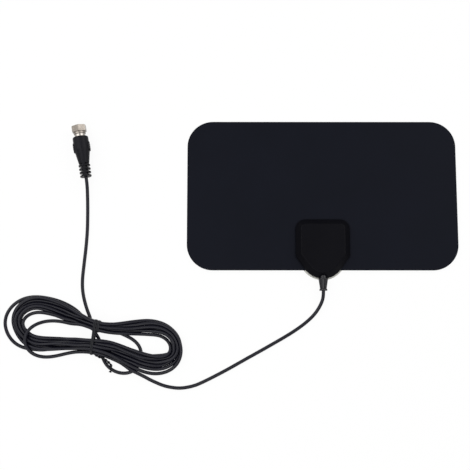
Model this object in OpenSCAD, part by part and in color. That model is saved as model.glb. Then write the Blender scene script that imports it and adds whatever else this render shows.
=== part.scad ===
// Flat television antenna: a laminated sheet, a clipped housing, a thin coaxial lead and a screw-on plug.
// Millimetres. +Z is up and z = 0 is the surface that it lies on. +Y points from the housing's
// rounded end to the far edge of the sheet. The origin is under the middle of the sheet and housing.

/* [Sheet] */
// Width of the sheet
sheet_w = 220; // [200:1:240]
// Height of the sheet
sheet_h = 123; // [112:1:140]
// Radius of the sheet's corners
sheet_corner_r = 21; // [8:1:28]
// Thickness of each of the two cover films
film_t = 0.3; // [0.2:0.05:0.5]
// Thickness of the foil elements and of the adhesive round them
foil_t = 0.1; // [0.05:0.05:0.2]
// Distance from the sheet's edge to the foil
foil_margin = 10; // [8:1:16]
// Width of the foil's strips
foil_strip = 7; // [5:1:9]
// Height of a foil wing at the middle of the sheet
foil_root_h = 16; // [12:1:24]
// Gap between a foil and the adhesive round it
foil_gap = 0.3; // [0.2:0.1:0.6]

/* [Housing] */
// Width of the housing
pod_w = 44; // [42:1:52]
// Length of the housing, from its straight top to its rounded end
pod_len = 48; // [47:1:56]
// How far the housing's rounded end reaches past the sheet
pod_overhang = 6.6; // [6.2:0.1:8]
// Radius of the two top corners
pod_top_r = 8; // [7:0.5:10]
// Radius of the two shoulders, where the sides turn in
pod_shoulder_r = 5; // [4:0.5:7]
// Distance from the rounded end to the shoulders' centres
pod_shoulder_y = 19.3; // [18:0.1:21]
// Radius of the rounded end
pod_nose_r = 17.8; // [16:0.1:19]
// Height of the back shell, under the sheet
back_h = 2.2; // [1.8:0.1:3]
// How far the back shell's rim stands out round the front shell
back_rim = 1.2; // [0.4:0.1:1.4]
// Chamfer round the underside of the back shell
back_chamfer = 0.7; // [0.3:0.1:1]
// Floor thickness of the back shell
back_floor_t = 1.2; // [0.8:0.1:1.3]
// Height of the front shell above the back shell
front_h = 7.2; // [7:0.1:9]
// Height of the front shell's upright edge
front_edge_h = 2; // [1.5:0.1:3]
// Width of the bevel between the upright edge and the flat top
bevel_w = 5; // [4:0.1:6]
// Rounding at both ends of the bevel
bevel_round = 0.5; // [0.3:0.1:0.8]
// Wall thickness of both shells
pod_wall = 1.6; // [1.2:0.1:1.8]
// Roof thickness of the front shell
pod_roof_t = 1.4; // [1:0.1:1.6]
// Radius of the posts inside the front shell
post_r = 1.8; // [1.6:0.1:2]
// Radius of the pins at the posts' ends, which snap into the back shell
pin_r = 1.3; // [1:0.1:1.5]
// Radial clearance round the pins in their sockets
pin_clearance = 0.05; // [0.03:0.01:0.1]
// Radial clearance round the pins in the sheet
sheet_hole_clearance = 0.3; // [0.2:0.1:0.5]
// Wall of the pins' sockets
socket_wall = 1.3; // [1:0.1:1.6]

/* [Circuit] */
// Width of the circuit board
board_w = 21; // [18:1:22]
// Length of the circuit board
board_len = 27; // [25:1:29]
// Thickness of the circuit board
board_t = 1.2; // [1:0.1:1.6]
// Distance between the two contact rivets
contact_pitch = 15; // [13:1:16]
// Radius of the contact rivets' shanks
contact_r = 0.9; // [0.7:0.1:1]
// Radius of the contact rivets' heads
contact_head_r = 1.7; // [1.4:0.1:2]
// Thickness of the contact rivets' heads
contact_head_t = 0.4; // [0.3:0.1:0.5]
// Clearance round the rivets' shanks
contact_clearance = 0.05; // [0.03:0.01:0.1]
// Length of the balun core along its holes
balun_len = 6; // [5:0.5:7]
// Width of the balun core
balun_w = 6.6; // [6:0.1:8]
// Height of the balun core
balun_h = 3.2; // [2.6:0.1:3.2]
// Radius of the balun core's two holes
balun_hole_r = 0.85; // [0.8:0.05:1]
// Radius of the balun's wire
wire_r = 0.2; // [0.15:0.05:0.25]

/* [Lead] */
// Diameter of the lead
cord_d = 2.8; // [2.4:0.1:3]
// Radius over the lead's braid
braid_r = 1; // [0.9:0.05:1.1]
// Radius of the lead's insulator
dielectric_r = 0.7; // [0.6:0.05:0.8]
// Radius of the lead's inner conductor
core_r = 0.3; // [0.25:0.05:0.35]
// Clearance between the lead and what it runs through
cord_clearance = 0.05; // [0.03:0.01:0.1]
// Length of the lead's strain relief outside the housing
relief_len = 10; // [8:0.5:12]
// Radius of the strain relief at the housing
relief_r = 3.5; // [3.2:0.1:3.8]
// Radius of the strain relief at its thin end
relief_tip_r = 2.5; // [2.2:0.1:2.8]
// Radius of the ring at the strain relief's end
relief_ring_r = 3.25; // [3:0.05:3.6]
// Thickness of that ring
relief_ring_t = 1.5; // [1:0.1:2]
// Radius of the strain relief's neck in the wall
relief_neck_r = 2.6; // [2.4:0.1:2.8]
// Number of lengthwise ribs on the strain relief
relief_ribs = 8; // [6:1:12]
// Height of the wound hank of lead
hank_h = 6; // [5:0.5:8]
// Thickness of the tie round the hank
tie_t = 1.6; // [1.2:0.1:2]
// Gap between the tie and the hank
tie_gap = 0.1; // [0.05:0.05:0.3]

/* [Plug] */
// Width across the coupling nut's flats
nut_af = 11; // [10.6:0.1:11]
// Length of the coupling nut
nut_len = 7; // [6.5:0.5:8]
// Length of the coupling nut's hexagon
hex_len = 5.2; // [4.8:0.1:5.6]
// Radius of the round collar behind the hexagon
collar_r = 4.85; // [4.8:0.05:5.2]
// Chamfer on the coupling nut's corners
nut_chamfer = 0.5; // [0.3:0.1:0.8]
// Radius of the coupling nut's bore inside its thread
thread_r = 4.4; // [4.3:0.05:4.6]
// Length of the thick lip at the coupling nut's back
lip_len = 1.6; // [1.2:0.1:2]
// Radius of the inner post's neck, which the coupling nut turns on
neck_r = 3.2; // [3:0.1:3.3]
// Running clearance round the neck
run_clearance = 0.05; // [0.03:0.01:0.08]
// Gap at each face of the lip
lip_gap = 0.1; // [0.05:0.05:0.2]
// Radius of the inner post's flange
flange_r = 3.9; // [3.7:0.1:4]
// Thickness of the inner post's flange
flange_t = 1.1; // [0.8:0.1:1.4]
// Radius of the inner post's bore
post_bore_r = 2; // [1.8:0.1:2.2]
// Radius of the metal sleeve behind the coupling nut
sleeve_r = 4.4; // [4.2:0.1:4.8]
// Length of the metal sleeve in view
sleeve_view = 2.3; // [1.4:0.1:2.8]
// Length of the metal sleeve inside the grip
sleeve_inside = 4.5; // [4:0.5:6]
// Radius of the centre pin's free end
centre_pin_r = 0.4; // [0.3:0.05:0.5]
// Radius of the centre pin's barrel inside the insulator
pin_barrel_r = 0.6; // [0.55:0.05:0.8]
// How far the centre pin stays inside the coupling nut's mouth
centre_pin_recess = 0.5; // [0.3:0.1:1]
// Radius of the grip
grip_r = 6.4; // [6.4:0.1:7]
// Length of the grip's head and taper
grip_len = 22.6; // [22:0.2:25]
// Length of the grip's ringed end
ringed_len = 11; // [10.6:0.1:12]
// Radius where the grip's taper ends
taper_r = 4.25; // [4:0.05:4.5]
// Radius of the ringed end between its rings
ring_core_r = 2.45; // [2.4:0.05:2.9]
// Number of rings
rings = 4; // [3:1:4]
// Thickness of a ring
ring_t = 1.3; // [1:0.1:1.5]
// Radius of the first ring
first_ring_r = 4.75; // [4.4:0.05:5]
// Radius of the last ring
last_ring_r = 4.65; // [4:0.05:4.8]
// How far the two finger pads stand out at the grip's sides
pad_t = 0.35; // [0.2:0.05:0.5]
// Distance of the finger pads from the grip's front face
pad_back = 4.4; // [4:0.2:7]
// Length of a finger pad
pad_len = 8.4; // [7:0.2:10]
// Width of a finger pad
pad_w = 7; // [6:0.2:8]
// Number of grooves across a finger pad
pad_grooves = 4; // [3:1:5]

/* [Hidden] */
$fn = 48;
hull_fn = 32;
slice = 0.01;
over = 1;

// Heights of the layers, from the surface up
back_film_z = back_h;
foil_z = back_film_z + film_t;
front_film_z = foil_z + foil_t;
sheet_top_z = front_film_z + film_t;
board_top_z = sheet_top_z + board_t;
cord_axis_z = board_top_z + core_r;
pod_top_z = back_h + front_h;
roof_z = pod_top_z - pod_roof_t;

// Places along Y
total_len = sheet_h + pod_overhang;
nose_y = -total_len / 2;
sheet_y0 = nose_y + pod_overhang;
sheet_mid_y = sheet_y0 + sheet_h / 2;
pod_top_y = nose_y + pod_len;

// The shoulders' arcs end where their common tangent with the rounded end starts
shoulder_x = pod_w / 2 - pod_shoulder_r;
shoulder_dy = pod_shoulder_y - pod_nose_r;
tangent_angle = 180 - atan(shoulder_dy / shoulder_x)
  + acos((pod_nose_r - pod_shoulder_r) / norm([shoulder_x, shoulder_dy]));
least_shoulder_r = 0.8;

// The front shell's section: how far it steps in, and how high
front_section = [
  [0, 0],
  [0, front_edge_h],
  [bevel_round, front_edge_h + 2 * bevel_round],
  [bevel_w - 2 * bevel_round, front_h - bevel_round],
  [bevel_w, front_h]
];

// Posts: two beside the board's top, two beside the lead
upper_post = [board_w / 2 + post_r + 1, pod_top_y - 9.6];
lower_post = [9.2, nose_y + 12.2];
posts = [
  [-upper_post[0], upper_post[1]],
  upper_post,
  [-lower_post[0], lower_post[1]],
  lower_post
];
pin_z = back_floor_t - 0.3;
socket_r = pin_r + pin_clearance + socket_wall;

// Board, contacts and stripped lead
board_y1 = pod_top_y - 6.8;
board_y0 = board_y1 - board_len;
contact_y = board_y1 - 4.5;
contact_x = contact_pitch / 2;
notch_w = 2 * braid_r + 0.6;
notch_len = 6.2;
jacket_end_y = nose_y + 10.8;
braid_end_y = board_y0 + notch_len - 2.8;
dielectric_end_y = board_y0 + notch_len - 0.3;
core_end_y = dielectric_end_y + 3.6;
balun_y = core_end_y + balun_len / 2 + 3.2;
balun_hole_x = balun_w / 4;
chip_size = [1.2, 2, 0.8];
chips = [
  [-contact_x, contact_y - 5.5],
  [contact_x, contact_y - 5.5],
  [contact_x, contact_y - 10]
];
clamp_w = 5.4;
clamp_h = 1.9;
clamp_len = 2.4;

// Strain relief, along -Y from the rounded end
collar_w = 8;
collar_t = 1.6;
collar_y = nose_y + 4.6;
collar_z0 = cord_axis_z - 1.9;
collar_z1 = cord_axis_z + 1;
saddle_t = 1.2;
saddle_w = 12;
saddle_clearance = 0.1;
rib_t = 0.6;
rib_h = 0.35;

// Lead: radius, sides of its tube, and steps between two points of a route
cord_r = cord_d / 2;
cord_sides = 8;
cord_steps = 2;
rest_z = cord_r;

// The hank's outline: left lobe, waist and right lobe, as x, y and radius, then its two eyes
left_lobe = [-226, -102, 24];
waist = [-180.5, -111.3, 12];
right_lobe = [-137, -118, 22.5];
left_eye = [[-229, -104, 6], [-193, -108.5, 2]];
right_eye = [[-134, -117, 7], [-171, -112.5, 2]];
tie_at = [-182.4, -110.6];
tie_turn = -8;
tie_span = 27.4;
tie_corner = 0.8;
tie_tail = [[-184.5, -125.1, 3], [-180, -127, 4], [-173.5, -130, 4.3], [-168.8, -135, 4.4], [-170, -139.6, 3.4]];

// Plug: its mouth's place and heading, then stations along its axis from the mouth
plug_mouth = [-199.3, 60.3];
plug_turn = 9.4;
plug_axis_z = grip_r;
lip_z = nut_len - lip_len;
flange_z = lip_z - lip_gap - flange_t;
sleeve_z = nut_len + 2 * lip_gap;
grip_z = sleeve_z + sleeve_view;
post_end_z = grip_z + sleeve_inside;
ringed_z = grip_z + grip_len;
plug_len = ringed_z + ringed_len;
grip_front_chamfer = 0.6;
pad_z = grip_z + pad_back;
web_w = 2.4;
groove_w = 0.7;
ring_pitch = (ringed_len - 0.9 - ring_t) / (rings - 1);

// Ends of the lead at the plug, in the part's frame
function along_plug(s) = [
  plug_mouth[0] + s * sin(plug_turn),
  plug_mouth[1] - s * cos(plug_turn),
  plug_axis_z
];

// Routes of the lead, chosen by eye on the surface
pod_route = [
  [0, jacket_end_y, cord_axis_z], [0, nose_y, cord_axis_z], [0, nose_y - relief_len - 1, cord_axis_z],
  [-1, -83, 3.2], [-6, -92, 1.8], [-14, -100, rest_z], [-26, -108.5, rest_z], [-44, -119, rest_z],
  [-62, -129, rest_z], [-80, -139, rest_z], [-98, -148, rest_z], [-107, -151, rest_z],
  [-116, -152, rest_z], [-126, -150.5, rest_z], [-134, -147.5, 1.6], [-142, -143.5, 3],
  [-150, -139, 4.4], [-157, -133, 4.4]
];
loop_route = [
  [-177, -125, rest_z], [-175, -131, rest_z], [-170.5, -136.5, rest_z], [-162.5, -140, rest_z],
  [-154, -139, rest_z], [-149.5, -136, rest_z]
];
plug_route = [
  along_plug(post_end_z), along_plug(post_end_z + 14), along_plug(plug_len), [-191.4, 10, 5],
  [-191.2, 0, 2.4], [-191, -12, rest_z], [-191, -26, rest_z], [-191.8, -40, rest_z],
  [-193, -53, rest_z], [-194, -66, rest_z], [-193.4, -76, rest_z], [-191, -86, rest_z],
  [-187.2, -96, rest_z]
];

// Vector helpers and a smooth curve through a route's points
function unit(v) = v / norm(v);
function at(points, i) = points[max(0, min(len(points) - 1, i))];
function between(a, b, c, d, t) =
  (2 * b + (c - a) * t + (2 * a - 5 * b + 4 * c - d) * t * t + (3 * b - a - 3 * c + d) * t * t * t) / 2;
function smooth(points, steps) = [
  for (i = [0 : len(points) - 2], k = [0 : steps - 1])
    between(at(points, i - 1), at(points, i), at(points, i + 1), at(points, i + 2), k / steps),
  at(points, len(points) - 1)
];
function heading(path, i) = unit(at(path, i + 1) - at(path, i - 1));

// A tube along a path, kept upright so that one flat side is underneath
module tube(path, r, sides) {
  n = len(path);
  rings_of_points = [
    for (i = [0 : n - 1])
      let (ahead = heading(path, i), side = unit(cross(ahead, [0, 0, 1])), up = cross(side, ahead))
        [for (k = [0 : sides - 1])
          let (a = (k + 0.5) * 360 / sides) path[i] + r * (cos(a) * side + sin(a) * up)]
  ];
  walls = [
    for (i = [0 : n - 2], k = [0 : sides - 1])
      let (a = i * sides + k, b = i * sides + (k + 1) % sides)
        each [[a, b, a + sides], [b, b + sides, a + sides]]
  ];
  first_cap = [for (k = [sides - 1 : -1 : 0]) k];
  last_cap = [for (k = [0 : sides - 1]) (n - 1) * sides + k];
  polyhedron(points = [for (ring = rings_of_points) each ring], faces = concat(walls, [first_cap, last_cap]));
}

// Arcs of the housing's outline, stepped in by some distance, anticlockwise: centre x and y, radius,
// first and last angle, steps. A shoulder that has no radius left keeps a small one between its two walls.
function shield(step_in) =
  let (
    r = max(pod_shoulder_r - step_in, least_shoulder_r),
    back = pod_shoulder_r - step_in - r,
    x = shoulder_x + back,
    y = nose_y + pod_shoulder_y + back / tan(tangent_angle / 2),
    top_x = pod_w / 2 - pod_top_r,
    top_y = pod_top_y - pod_top_r
  )
    [
      [top_x, top_y, pod_top_r - step_in, 0, 90, 8],
      [-top_x, top_y, pod_top_r - step_in, 90, 180, 8],
      [-x, y, r, 180, tangent_angle, 4],
      [0, nose_y + pod_nose_r, pod_nose_r - step_in, tangent_angle, 540 - tangent_angle, 16],
      [x, y, r, 540 - tangent_angle, 360, 4]
    ];

// The housing's outline at one height
function shield_ring(step_in, z) = [
  for (c = shield(step_in), i = [0 : c[5]])
    let (a = c[3] + (c[4] - c[3]) * i / c[5])
      [c[0] + c[2] * cos(a), c[1] + c[2] * sin(a), z]
];

// A solid through a stack of outlines, each given as its step in and its height
module loft(layers) {
  levels = [for (l = layers) shield_ring(l[0], l[1])];
  n = len(levels[0]);
  walls = [
    for (i = [0 : len(layers) - 2], k = [0 : n - 1])
      let (a = i * n + k, b = i * n + (k + 1) % n)
        each [[a, a + n, b + n], [a, b + n, b]]
  ];
  bottom = [for (k = [0 : n - 1]) k];
  top = [for (k = [n - 1 : -1 : 0]) (len(layers) - 1) * n + k];
  polyhedron(points = [for (l = levels) each l], faces = concat(walls, [bottom, top]));
}

// The front shell's outer form, or the form of its hollow when it is made smaller
module dome(wall, roof, down) {
  loft(concat(
    [[wall, back_h - down]],
    [for (i = [1 : len(front_section) - 1]) [front_section[i][0] + wall, back_h + front_section[i][1] - roof]]
  ));
}

// A rounded sheet of the laminate, with holes for the housing's pins
module rounded_sheet(z, t) {
  difference() {
    hull()
      for (x = [-1, 1], y = [sheet_y0 + sheet_corner_r, sheet_y0 + sheet_h - sheet_corner_r])
        translate([x * (sheet_w / 2 - sheet_corner_r), y, z])
          cylinder(r = sheet_corner_r, h = t, $fn = 96);
    for (p = posts)
      translate([p[0], p[1], z - over])
        cylinder(r = pin_r + sheet_hole_clearance, h = t + 2 * over);
  }
}

// Rivet holes through a layer
module contact_holes(z, t, r) {
  for (x = [-contact_x, contact_x])
    translate([x, contact_y, z - over])
      cylinder(r = r, h = t + 2 * over);
}

module cover_film(z) {
  difference() {
    rounded_sheet(z, film_t);
    contact_holes(z, film_t, contact_r + contact_clearance);
  }
}

// Right foil wing: a trapezium that opens towards the sheet's side, with a tail down to its contact
feed_x0 = contact_x - foil_strip / 2;
feed_x1 = contact_x + foil_strip / 2;
wing_x = sheet_w / 2 - foil_margin;
wing_y0 = sheet_y0 + foil_margin;
wing_y1 = sheet_y0 + sheet_h - foil_margin;
function wing_low(x) = let (k = (x - feed_x0) / (wing_x - feed_x0))
  (1 - k) * (sheet_mid_y - foil_root_h / 2) + k * wing_y0;
function wing_high(x) = let (k = (x - feed_x0) / (wing_x - feed_x0))
  (1 - k) * (sheet_mid_y + foil_root_h / 2) + k * wing_y1;

module wing_outline() {
  polygon([
    [feed_x0, contact_y - foil_strip / 2], [feed_x1, contact_y - foil_strip / 2],
    [feed_x1, wing_low(feed_x1)], [wing_x, wing_y0], [wing_x, wing_y1],
    [feed_x0, wing_high(feed_x0)]
  ]);
}

// Windows between the wing's strips: a wide outer one and a narrow inner one
window_from = [feed_x1 + 12, feed_x1 + 58];
window_to = [feed_x1 + 51, wing_x - foil_strip];
module wing_windows(shrink) {
  for (i = [0, 1])
    polygon([
      [window_from[i] + shrink, wing_low(window_from[i]) + foil_strip + shrink],
      [window_to[i] - shrink, wing_low(window_to[i]) + foil_strip + shrink],
      [window_to[i] - shrink, wing_high(window_to[i]) - foil_strip - shrink],
      [window_from[i] + shrink, wing_high(window_from[i]) - foil_strip - shrink]
    ]);
}

module foil_right() {
  color("#c4c7cb")
    difference() {
      translate([0, 0, foil_z])
        linear_extrude(foil_t)
          wing_outline();
      translate([0, 0, foil_z - over])
        linear_extrude(foil_t + 2 * over)
          wing_windows(0);
      contact_holes(foil_z, foil_t, contact_r + contact_clearance);
    }
}

module foil_left() {
  mirror([1, 0, 0]) foil_right();
}

module bond_layer() {
  color("#d9d4c4") {
    difference() {
      rounded_sheet(foil_z, foil_t);
      for (side = [0, 1])
        mirror([side, 0, 0])
          translate([0, 0, foil_z - over])
            linear_extrude(foil_t + 2 * over)
              offset(delta = foil_gap)
                wing_outline();
    }
    for (side = [0, 1])
      mirror([side, 0, 0])
        translate([0, 0, foil_z])
          linear_extrude(foil_t)
            wing_windows(foil_gap);
  }
}

module front_film() {
  color("#1a1c20") cover_film(front_film_z);
}

module back_film() {
  color("#e8e8e4") cover_film(back_film_z);
}

// Round passage along Y at the lead's height
module along_y(y0, y1, r) {
  translate([0, y1, cord_axis_z])
    rotate([90, 0, 0])
      cylinder(r = r, h = y1 - y0);
}

module pod_back() {
  color("#e9e9e6")
    difference() {
      union() {
        difference() {
          loft([[back_chamfer - back_rim, 0], [-back_rim, back_chamfer], [-back_rim, back_h]]);
          loft([[pod_wall, back_floor_t], [pod_wall, back_h + over]]);
        }
        for (p = posts)
          translate([p[0], p[1], back_floor_t])
            cylinder(r = socket_r, h = back_h - back_floor_t);
      }
      for (p = posts)
        translate([p[0], p[1], pin_z])
          cylinder(r = pin_r + pin_clearance, h = back_h);
      along_y(nose_y - over, nose_y + 2 * pod_wall, relief_neck_r + saddle_clearance);
      along_y(nose_y - back_rim - over, nose_y, relief_r + saddle_clearance);
    }
}

module pod_front() {
  color("#17181a") {
    difference() {
      union() {
        difference() {
          dome(0, 0, 0);
          dome(pod_wall, pod_roof_t, over);
          translate([-pod_w, sheet_y0 - saddle_clearance, 0])
            cube([2 * pod_w, pod_len, sheet_top_z]);
        }
        intersection() {
          dome(pod_wall / 2, pod_roof_t / 2, 0);
          for (y = [collar_y - saddle_t, collar_y + collar_t + 2 * saddle_clearance])
            translate([-saddle_w / 2, y, sheet_top_z])
              cube([saddle_w, saddle_t, front_h]);
        }
      }
      along_y(nose_y - over, collar_y + 2 * saddle_clearance, relief_neck_r + saddle_clearance);
      along_y(collar_y, jacket_end_y, cord_r + cord_clearance);
      translate([-cord_r - cord_clearance, collar_y, 0])
        cube([cord_d + 2 * cord_clearance, jacket_end_y - collar_y, cord_axis_z]);
    }
    for (p = posts) {
      translate([p[0], p[1], sheet_top_z])
        cylinder(r = post_r, h = roof_z + pod_roof_t / 2 - sheet_top_z);
      translate([p[0], p[1], pin_z])
        cylinder(r = pin_r, h = sheet_top_z - pin_z);
    }
  }
}

module circuit_board() {
  color("#1f5a3a")
    difference() {
      translate([-board_w / 2, board_y0, sheet_top_z])
        cube([board_w, board_len, board_t]);
      translate([-notch_w / 2, board_y0 - over, sheet_top_z - over])
        cube([notch_w, notch_len + over, board_t + 2 * over]);
      contact_holes(sheet_top_z, board_t, contact_r + contact_clearance);
    }
}

// The balun's ferrite core: two holes side by side, along Y
module balun_core() {
  color("#3a3a3c")
    translate([0, balun_y + balun_len / 2, board_top_z + balun_h / 2])
      rotate([90, 0, 0])
        difference() {
          hull()
            for (x = [-1, 1])
              translate([x * (balun_w - balun_h) / 2, 0, 0])
                cylinder(d = balun_h, h = balun_len, $fn = hull_fn);
          for (x = [-balun_hole_x, balun_hole_x])
            translate([x, 0, -over])
              cylinder(r = balun_hole_r, h = balun_len + 2 * over);
        }
}

// One turn of wire through both holes, with its two legs down to the board
module balun_turn(lift, leg_y) {
  z = board_top_z + balun_h / 2 + lift;
  for (x = [-balun_hole_x, balun_hole_x])
    translate([x, balun_y + balun_len / 2, z])
      rotate([90, 0, 0])
        cylinder(r = wire_r, h = balun_len);
  for (end = [-1, 1])
    translate([0, balun_y + end * balun_len / 2, z])
      rotate([0, 0, end > 0 ? 0 : 180])
        rotate_extrude(angle = 180)
          translate([balun_hole_x, 0])
            circle(r = wire_r);
  translate([0, balun_y + leg_y * (balun_len / 2 + balun_hole_x), board_top_z])
    cylinder(r = wire_r, h = balun_h / 2 + lift);
}

module balun_winding() {
  color("#b4622a") {
    balun_turn(0.35, 1);
    balun_turn(-0.35, -1);
  }
}

module chip_capacitors() {
  color("#b9a27a")
    for (c = chips)
      translate([c[0] - chip_size[0] / 2, c[1] - chip_size[1] / 2, board_top_z])
        cube(chip_size);
}

module contact(x) {
  color("#c9cbd0")
    translate([x, contact_y, 0]) {
      translate([0, 0, back_film_z])
        cylinder(r = contact_r, h = board_top_z - back_film_z);
      translate([0, 0, board_top_z])
        cylinder(r = contact_head_r, h = contact_head_t);
      translate([0, 0, back_film_z - contact_head_t])
        cylinder(r = contact_head_r, h = contact_head_t);
    }
}

module contact_left() {
  contact(-contact_x);
}

module contact_right() {
  contact(contact_x);
}

// Strap over the lead's braid, soldered to the board on both sides of the notch
module coax_clamp() {
  color("#c8c9c6")
    difference() {
      translate([-clamp_w / 2, board_y0 + 0.4, board_top_z])
        cube([clamp_w, clamp_len, clamp_h]);
      along_y(board_y0 - over, board_y0 + clamp_len + over, braid_r + cord_clearance);
    }
}

// A layer of the stripped lead
module lead_layer(y0, y1, outer, inner) {
  difference() {
    along_y(y0, y1, outer);
    if (inner > 0)
      along_y(y0 - over, y1 + over, inner);
  }
}

module lead_braid() {
  color("#b5b0a6") lead_layer(jacket_end_y, braid_end_y, braid_r, dielectric_r);
}

module lead_dielectric() {
  color("#f2f0ea") lead_layer(jacket_end_y, dielectric_end_y, dielectric_r, core_r);
}

module lead_core() {
  color("#c77b3c") lead_layer(jacket_end_y, core_end_y, core_r, 0);
}

// Sleeve that keeps the lead from kinking: a ribbed taper outside, a neck in the wall, a flat collar inside
module strain_relief() {
  color("#17181a")
    difference() {
      union() {
        translate([0, nose_y, cord_axis_z])
          rotate([90, 0, 0]) {
            cylinder(r1 = relief_r, r2 = relief_tip_r, h = relief_len - relief_ring_t);
            translate([0, 0, relief_len - relief_ring_t])
              cylinder(r = relief_ring_r, h = relief_ring_t);
            for (i = [0 : relief_ribs - 1])
              rotate([0, 0, (i + 0.5) * 360 / relief_ribs])
                translate([0, -rib_t / 2, 0])
                  cube([relief_tip_r + rib_h, rib_t, relief_len - relief_ring_t + slice]);
          }
        along_y(nose_y - slice, collar_y + slice, relief_neck_r);
        translate([-collar_w / 2, collar_y + saddle_clearance, collar_z0])
          cube([collar_w, collar_t, collar_z1 - collar_z0]);
        along_y(collar_y, collar_y + saddle_clearance + slice, relief_neck_r);
      }
      along_y(nose_y - relief_len - over, jacket_end_y, cord_r + cord_clearance);
    }
}

module cord_pod_side() {
  color("#1c1c1e") tube(smooth(pod_route, cord_steps), cord_r, cord_sides);
}

module cord_loop() {
  color("#1c1c1e") tube(smooth(loop_route, cord_steps), cord_r, cord_sides);
}

module cord_plug_side() {
  color("#1c1c1e") tube(smooth(plug_route, cord_steps), cord_r, cord_sides);
}

// Outline of two round ends joined by straight runs
module rounded_run(a, b) {
  hull()
    for (c = [a, b])
      translate([c[0], c[1]])
        circle(r = c[2]);
}

// The wound lead as one solid of its outer form, with its two eyes and the tie's way under its waist
module cord_hank() {
  color("#1c1c1e")
    difference() {
      linear_extrude(hank_h)
        difference() {
          union() {
            rounded_run(left_lobe, waist);
            rounded_run(waist, right_lobe);
          }
          rounded_run(left_eye[0], left_eye[1]);
          rounded_run(right_eye[0], right_eye[1]);
        }
      translate([tie_at[0], tie_at[1], 0])
        rotate([0, 0, tie_turn])
          translate([-tie_t / 2 - tie_gap, -tie_span, -over])
            cube([tie_t + 2 * tie_gap, 2 * tie_span, over + tie_t + tie_gap]);
    }
}

// Rounded band round the hank's waist, with its twisted tail
module twist_tie() {
  color("#141416") {
    translate([tie_at[0], tie_at[1], 0])
      rotate([0, 0, tie_turn])
        translate([-tie_t / 2, 0, 0])
          rotate([90, 0, 90])
            linear_extrude(tie_t)
              difference() {
                tie_band(tie_t);
                tie_band(0);
              }
    tube(smooth(tie_tail, cord_steps), tie_t / 2, cord_sides);
  }
}

module tie_band(grow) {
  for_hank = [tie_t + tie_corner, hank_h + 2 * tie_gap - tie_corner];
  hull()
    for (y = [-1, 1], z = for_hank)
      translate([y * (tie_span / 2 - tie_corner), z])
        circle(r = tie_corner + grow, $fn = hull_fn);
}

// Turns a piece made along +Z, mouth first, into the plug's place
module place_plug() {
  translate([plug_mouth[0], plug_mouth[1], plug_axis_z])
    rotate([0, 0, plug_turn])
      rotate([90, 0, 0])
        children();
}

// Half section of the grip: radius and station, from the front face to the last ring
grip_profile = concat(
  [
    [0, grip_z],
    [grip_r - 2 * grip_front_chamfer, grip_z],
    [grip_r - grip_front_chamfer / 2, grip_z + grip_front_chamfer],
    [grip_r, grip_z + 4],
    [grip_r, grip_z + grip_len * 0.47],
    [grip_r - 0.75, grip_z + grip_len * 0.65],
    [taper_r, ringed_z],
    [ring_core_r, ringed_z]
  ],
  [
    for (i = [0 : rings - 1])
      let (z = ringed_z + 0.9 + i * ring_pitch, r = first_ring_r + (last_ring_r - first_ring_r) * i / (rings - 1))
        each [[ring_core_r, z], [r, z], [r, z + ring_t], [ring_core_r, z + ring_t]]
  ],
  [[0, plug_len]]
);

module finger_pad() {
  difference() {
    translate([0, 0, pad_z])
      rotate([0, 90, 0])
        hull()
          for (s = [-pad_w / 2, -pad_len + pad_w / 2])
            translate([s, 0, 0])
              cylinder(d = pad_w, h = grip_r + pad_t, $fn = hull_fn);
    for (i = [1 : pad_grooves])
      translate([grip_r - pad_t / 2, -pad_w / 2, pad_z + i * pad_len / (pad_grooves + 1) - groove_w / 2])
        cube([2 * pad_t + over, pad_w, groove_w]);
  }
}

module plug_grip() {
  color("#1b1b1d")
    place_plug()
      difference() {
        union() {
          rotate_extrude() polygon(grip_profile);
          for (side = [0, 180])
            rotate([0, 0, side]) finger_pad();
          translate([-web_w / 2, -last_ring_r + 0.3, ringed_z - over])
            cube([web_w, 2 * last_ring_r - 0.6, ringed_len + over - ring_t / 2]);
        }
        translate([0, 0, grip_z - over])
          cylinder(r = sleeve_r, h = sleeve_inside + over);
        cylinder(r = cord_r + cord_clearance, h = plug_len + over);
      }
}

module connector_sleeve() {
  color("#c9cacd")
    place_plug()
      difference() {
        translate([0, 0, sleeve_z])
          cylinder(r = sleeve_r, h = sleeve_view + sleeve_inside);
        translate([0, 0, sleeve_z - over])
          cylinder(r = neck_r, h = sleeve_view + sleeve_inside + 2 * over);
      }
}

// Inner post: a flange that keeps the coupling nut on, and a neck that it turns on
module connector_post() {
  color("#b9bbbf")
    place_plug()
      difference() {
        union() {
          translate([0, 0, flange_z])
            cylinder(r = flange_r, h = flange_t);
          translate([0, 0, flange_z + flange_t])
            cylinder(r = neck_r, h = post_end_z - flange_z - flange_t);
        }
        translate([0, 0, flange_z - over])
          cylinder(r = post_bore_r, h = post_end_z - flange_z + 2 * over);
      }
}

// Chamfered hexagon with its flats at the sides, and a round collar whose lip runs behind the post's flange
module coupling_nut() {
  corner_r = nut_af / 2 / cos(30);
  color("#c9cacd")
    place_plug()
      difference() {
        union() {
          intersection() {
            rotate([0, 0, 30])
              cylinder(r = corner_r, h = hex_len, $fn = 6);
            rotate_extrude()
              polygon([
                [0, 0], [corner_r - nut_chamfer, 0], [corner_r, nut_chamfer],
                [corner_r, hex_len - nut_chamfer], [corner_r - nut_chamfer, hex_len], [0, hex_len]
              ]);
          }
          translate([0, 0, hex_len / 2])
            cylinder(r = collar_r, h = nut_len - hex_len / 2);
        }
        translate([0, 0, -over])
          cylinder(r = thread_r, h = lip_z + over);
        cylinder(r = neck_r + run_clearance, h = nut_len + over);
      }
}

module plug_dielectric() {
  color("#f2f0ea")
    place_plug()
      difference() {
        translate([0, 0, flange_z])
          cylinder(r = post_bore_r, h = post_end_z - flange_z);
        translate([0, 0, flange_z - over])
          cylinder(r = pin_barrel_r, h = post_end_z - flange_z + 2 * over);
      }
}

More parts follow.
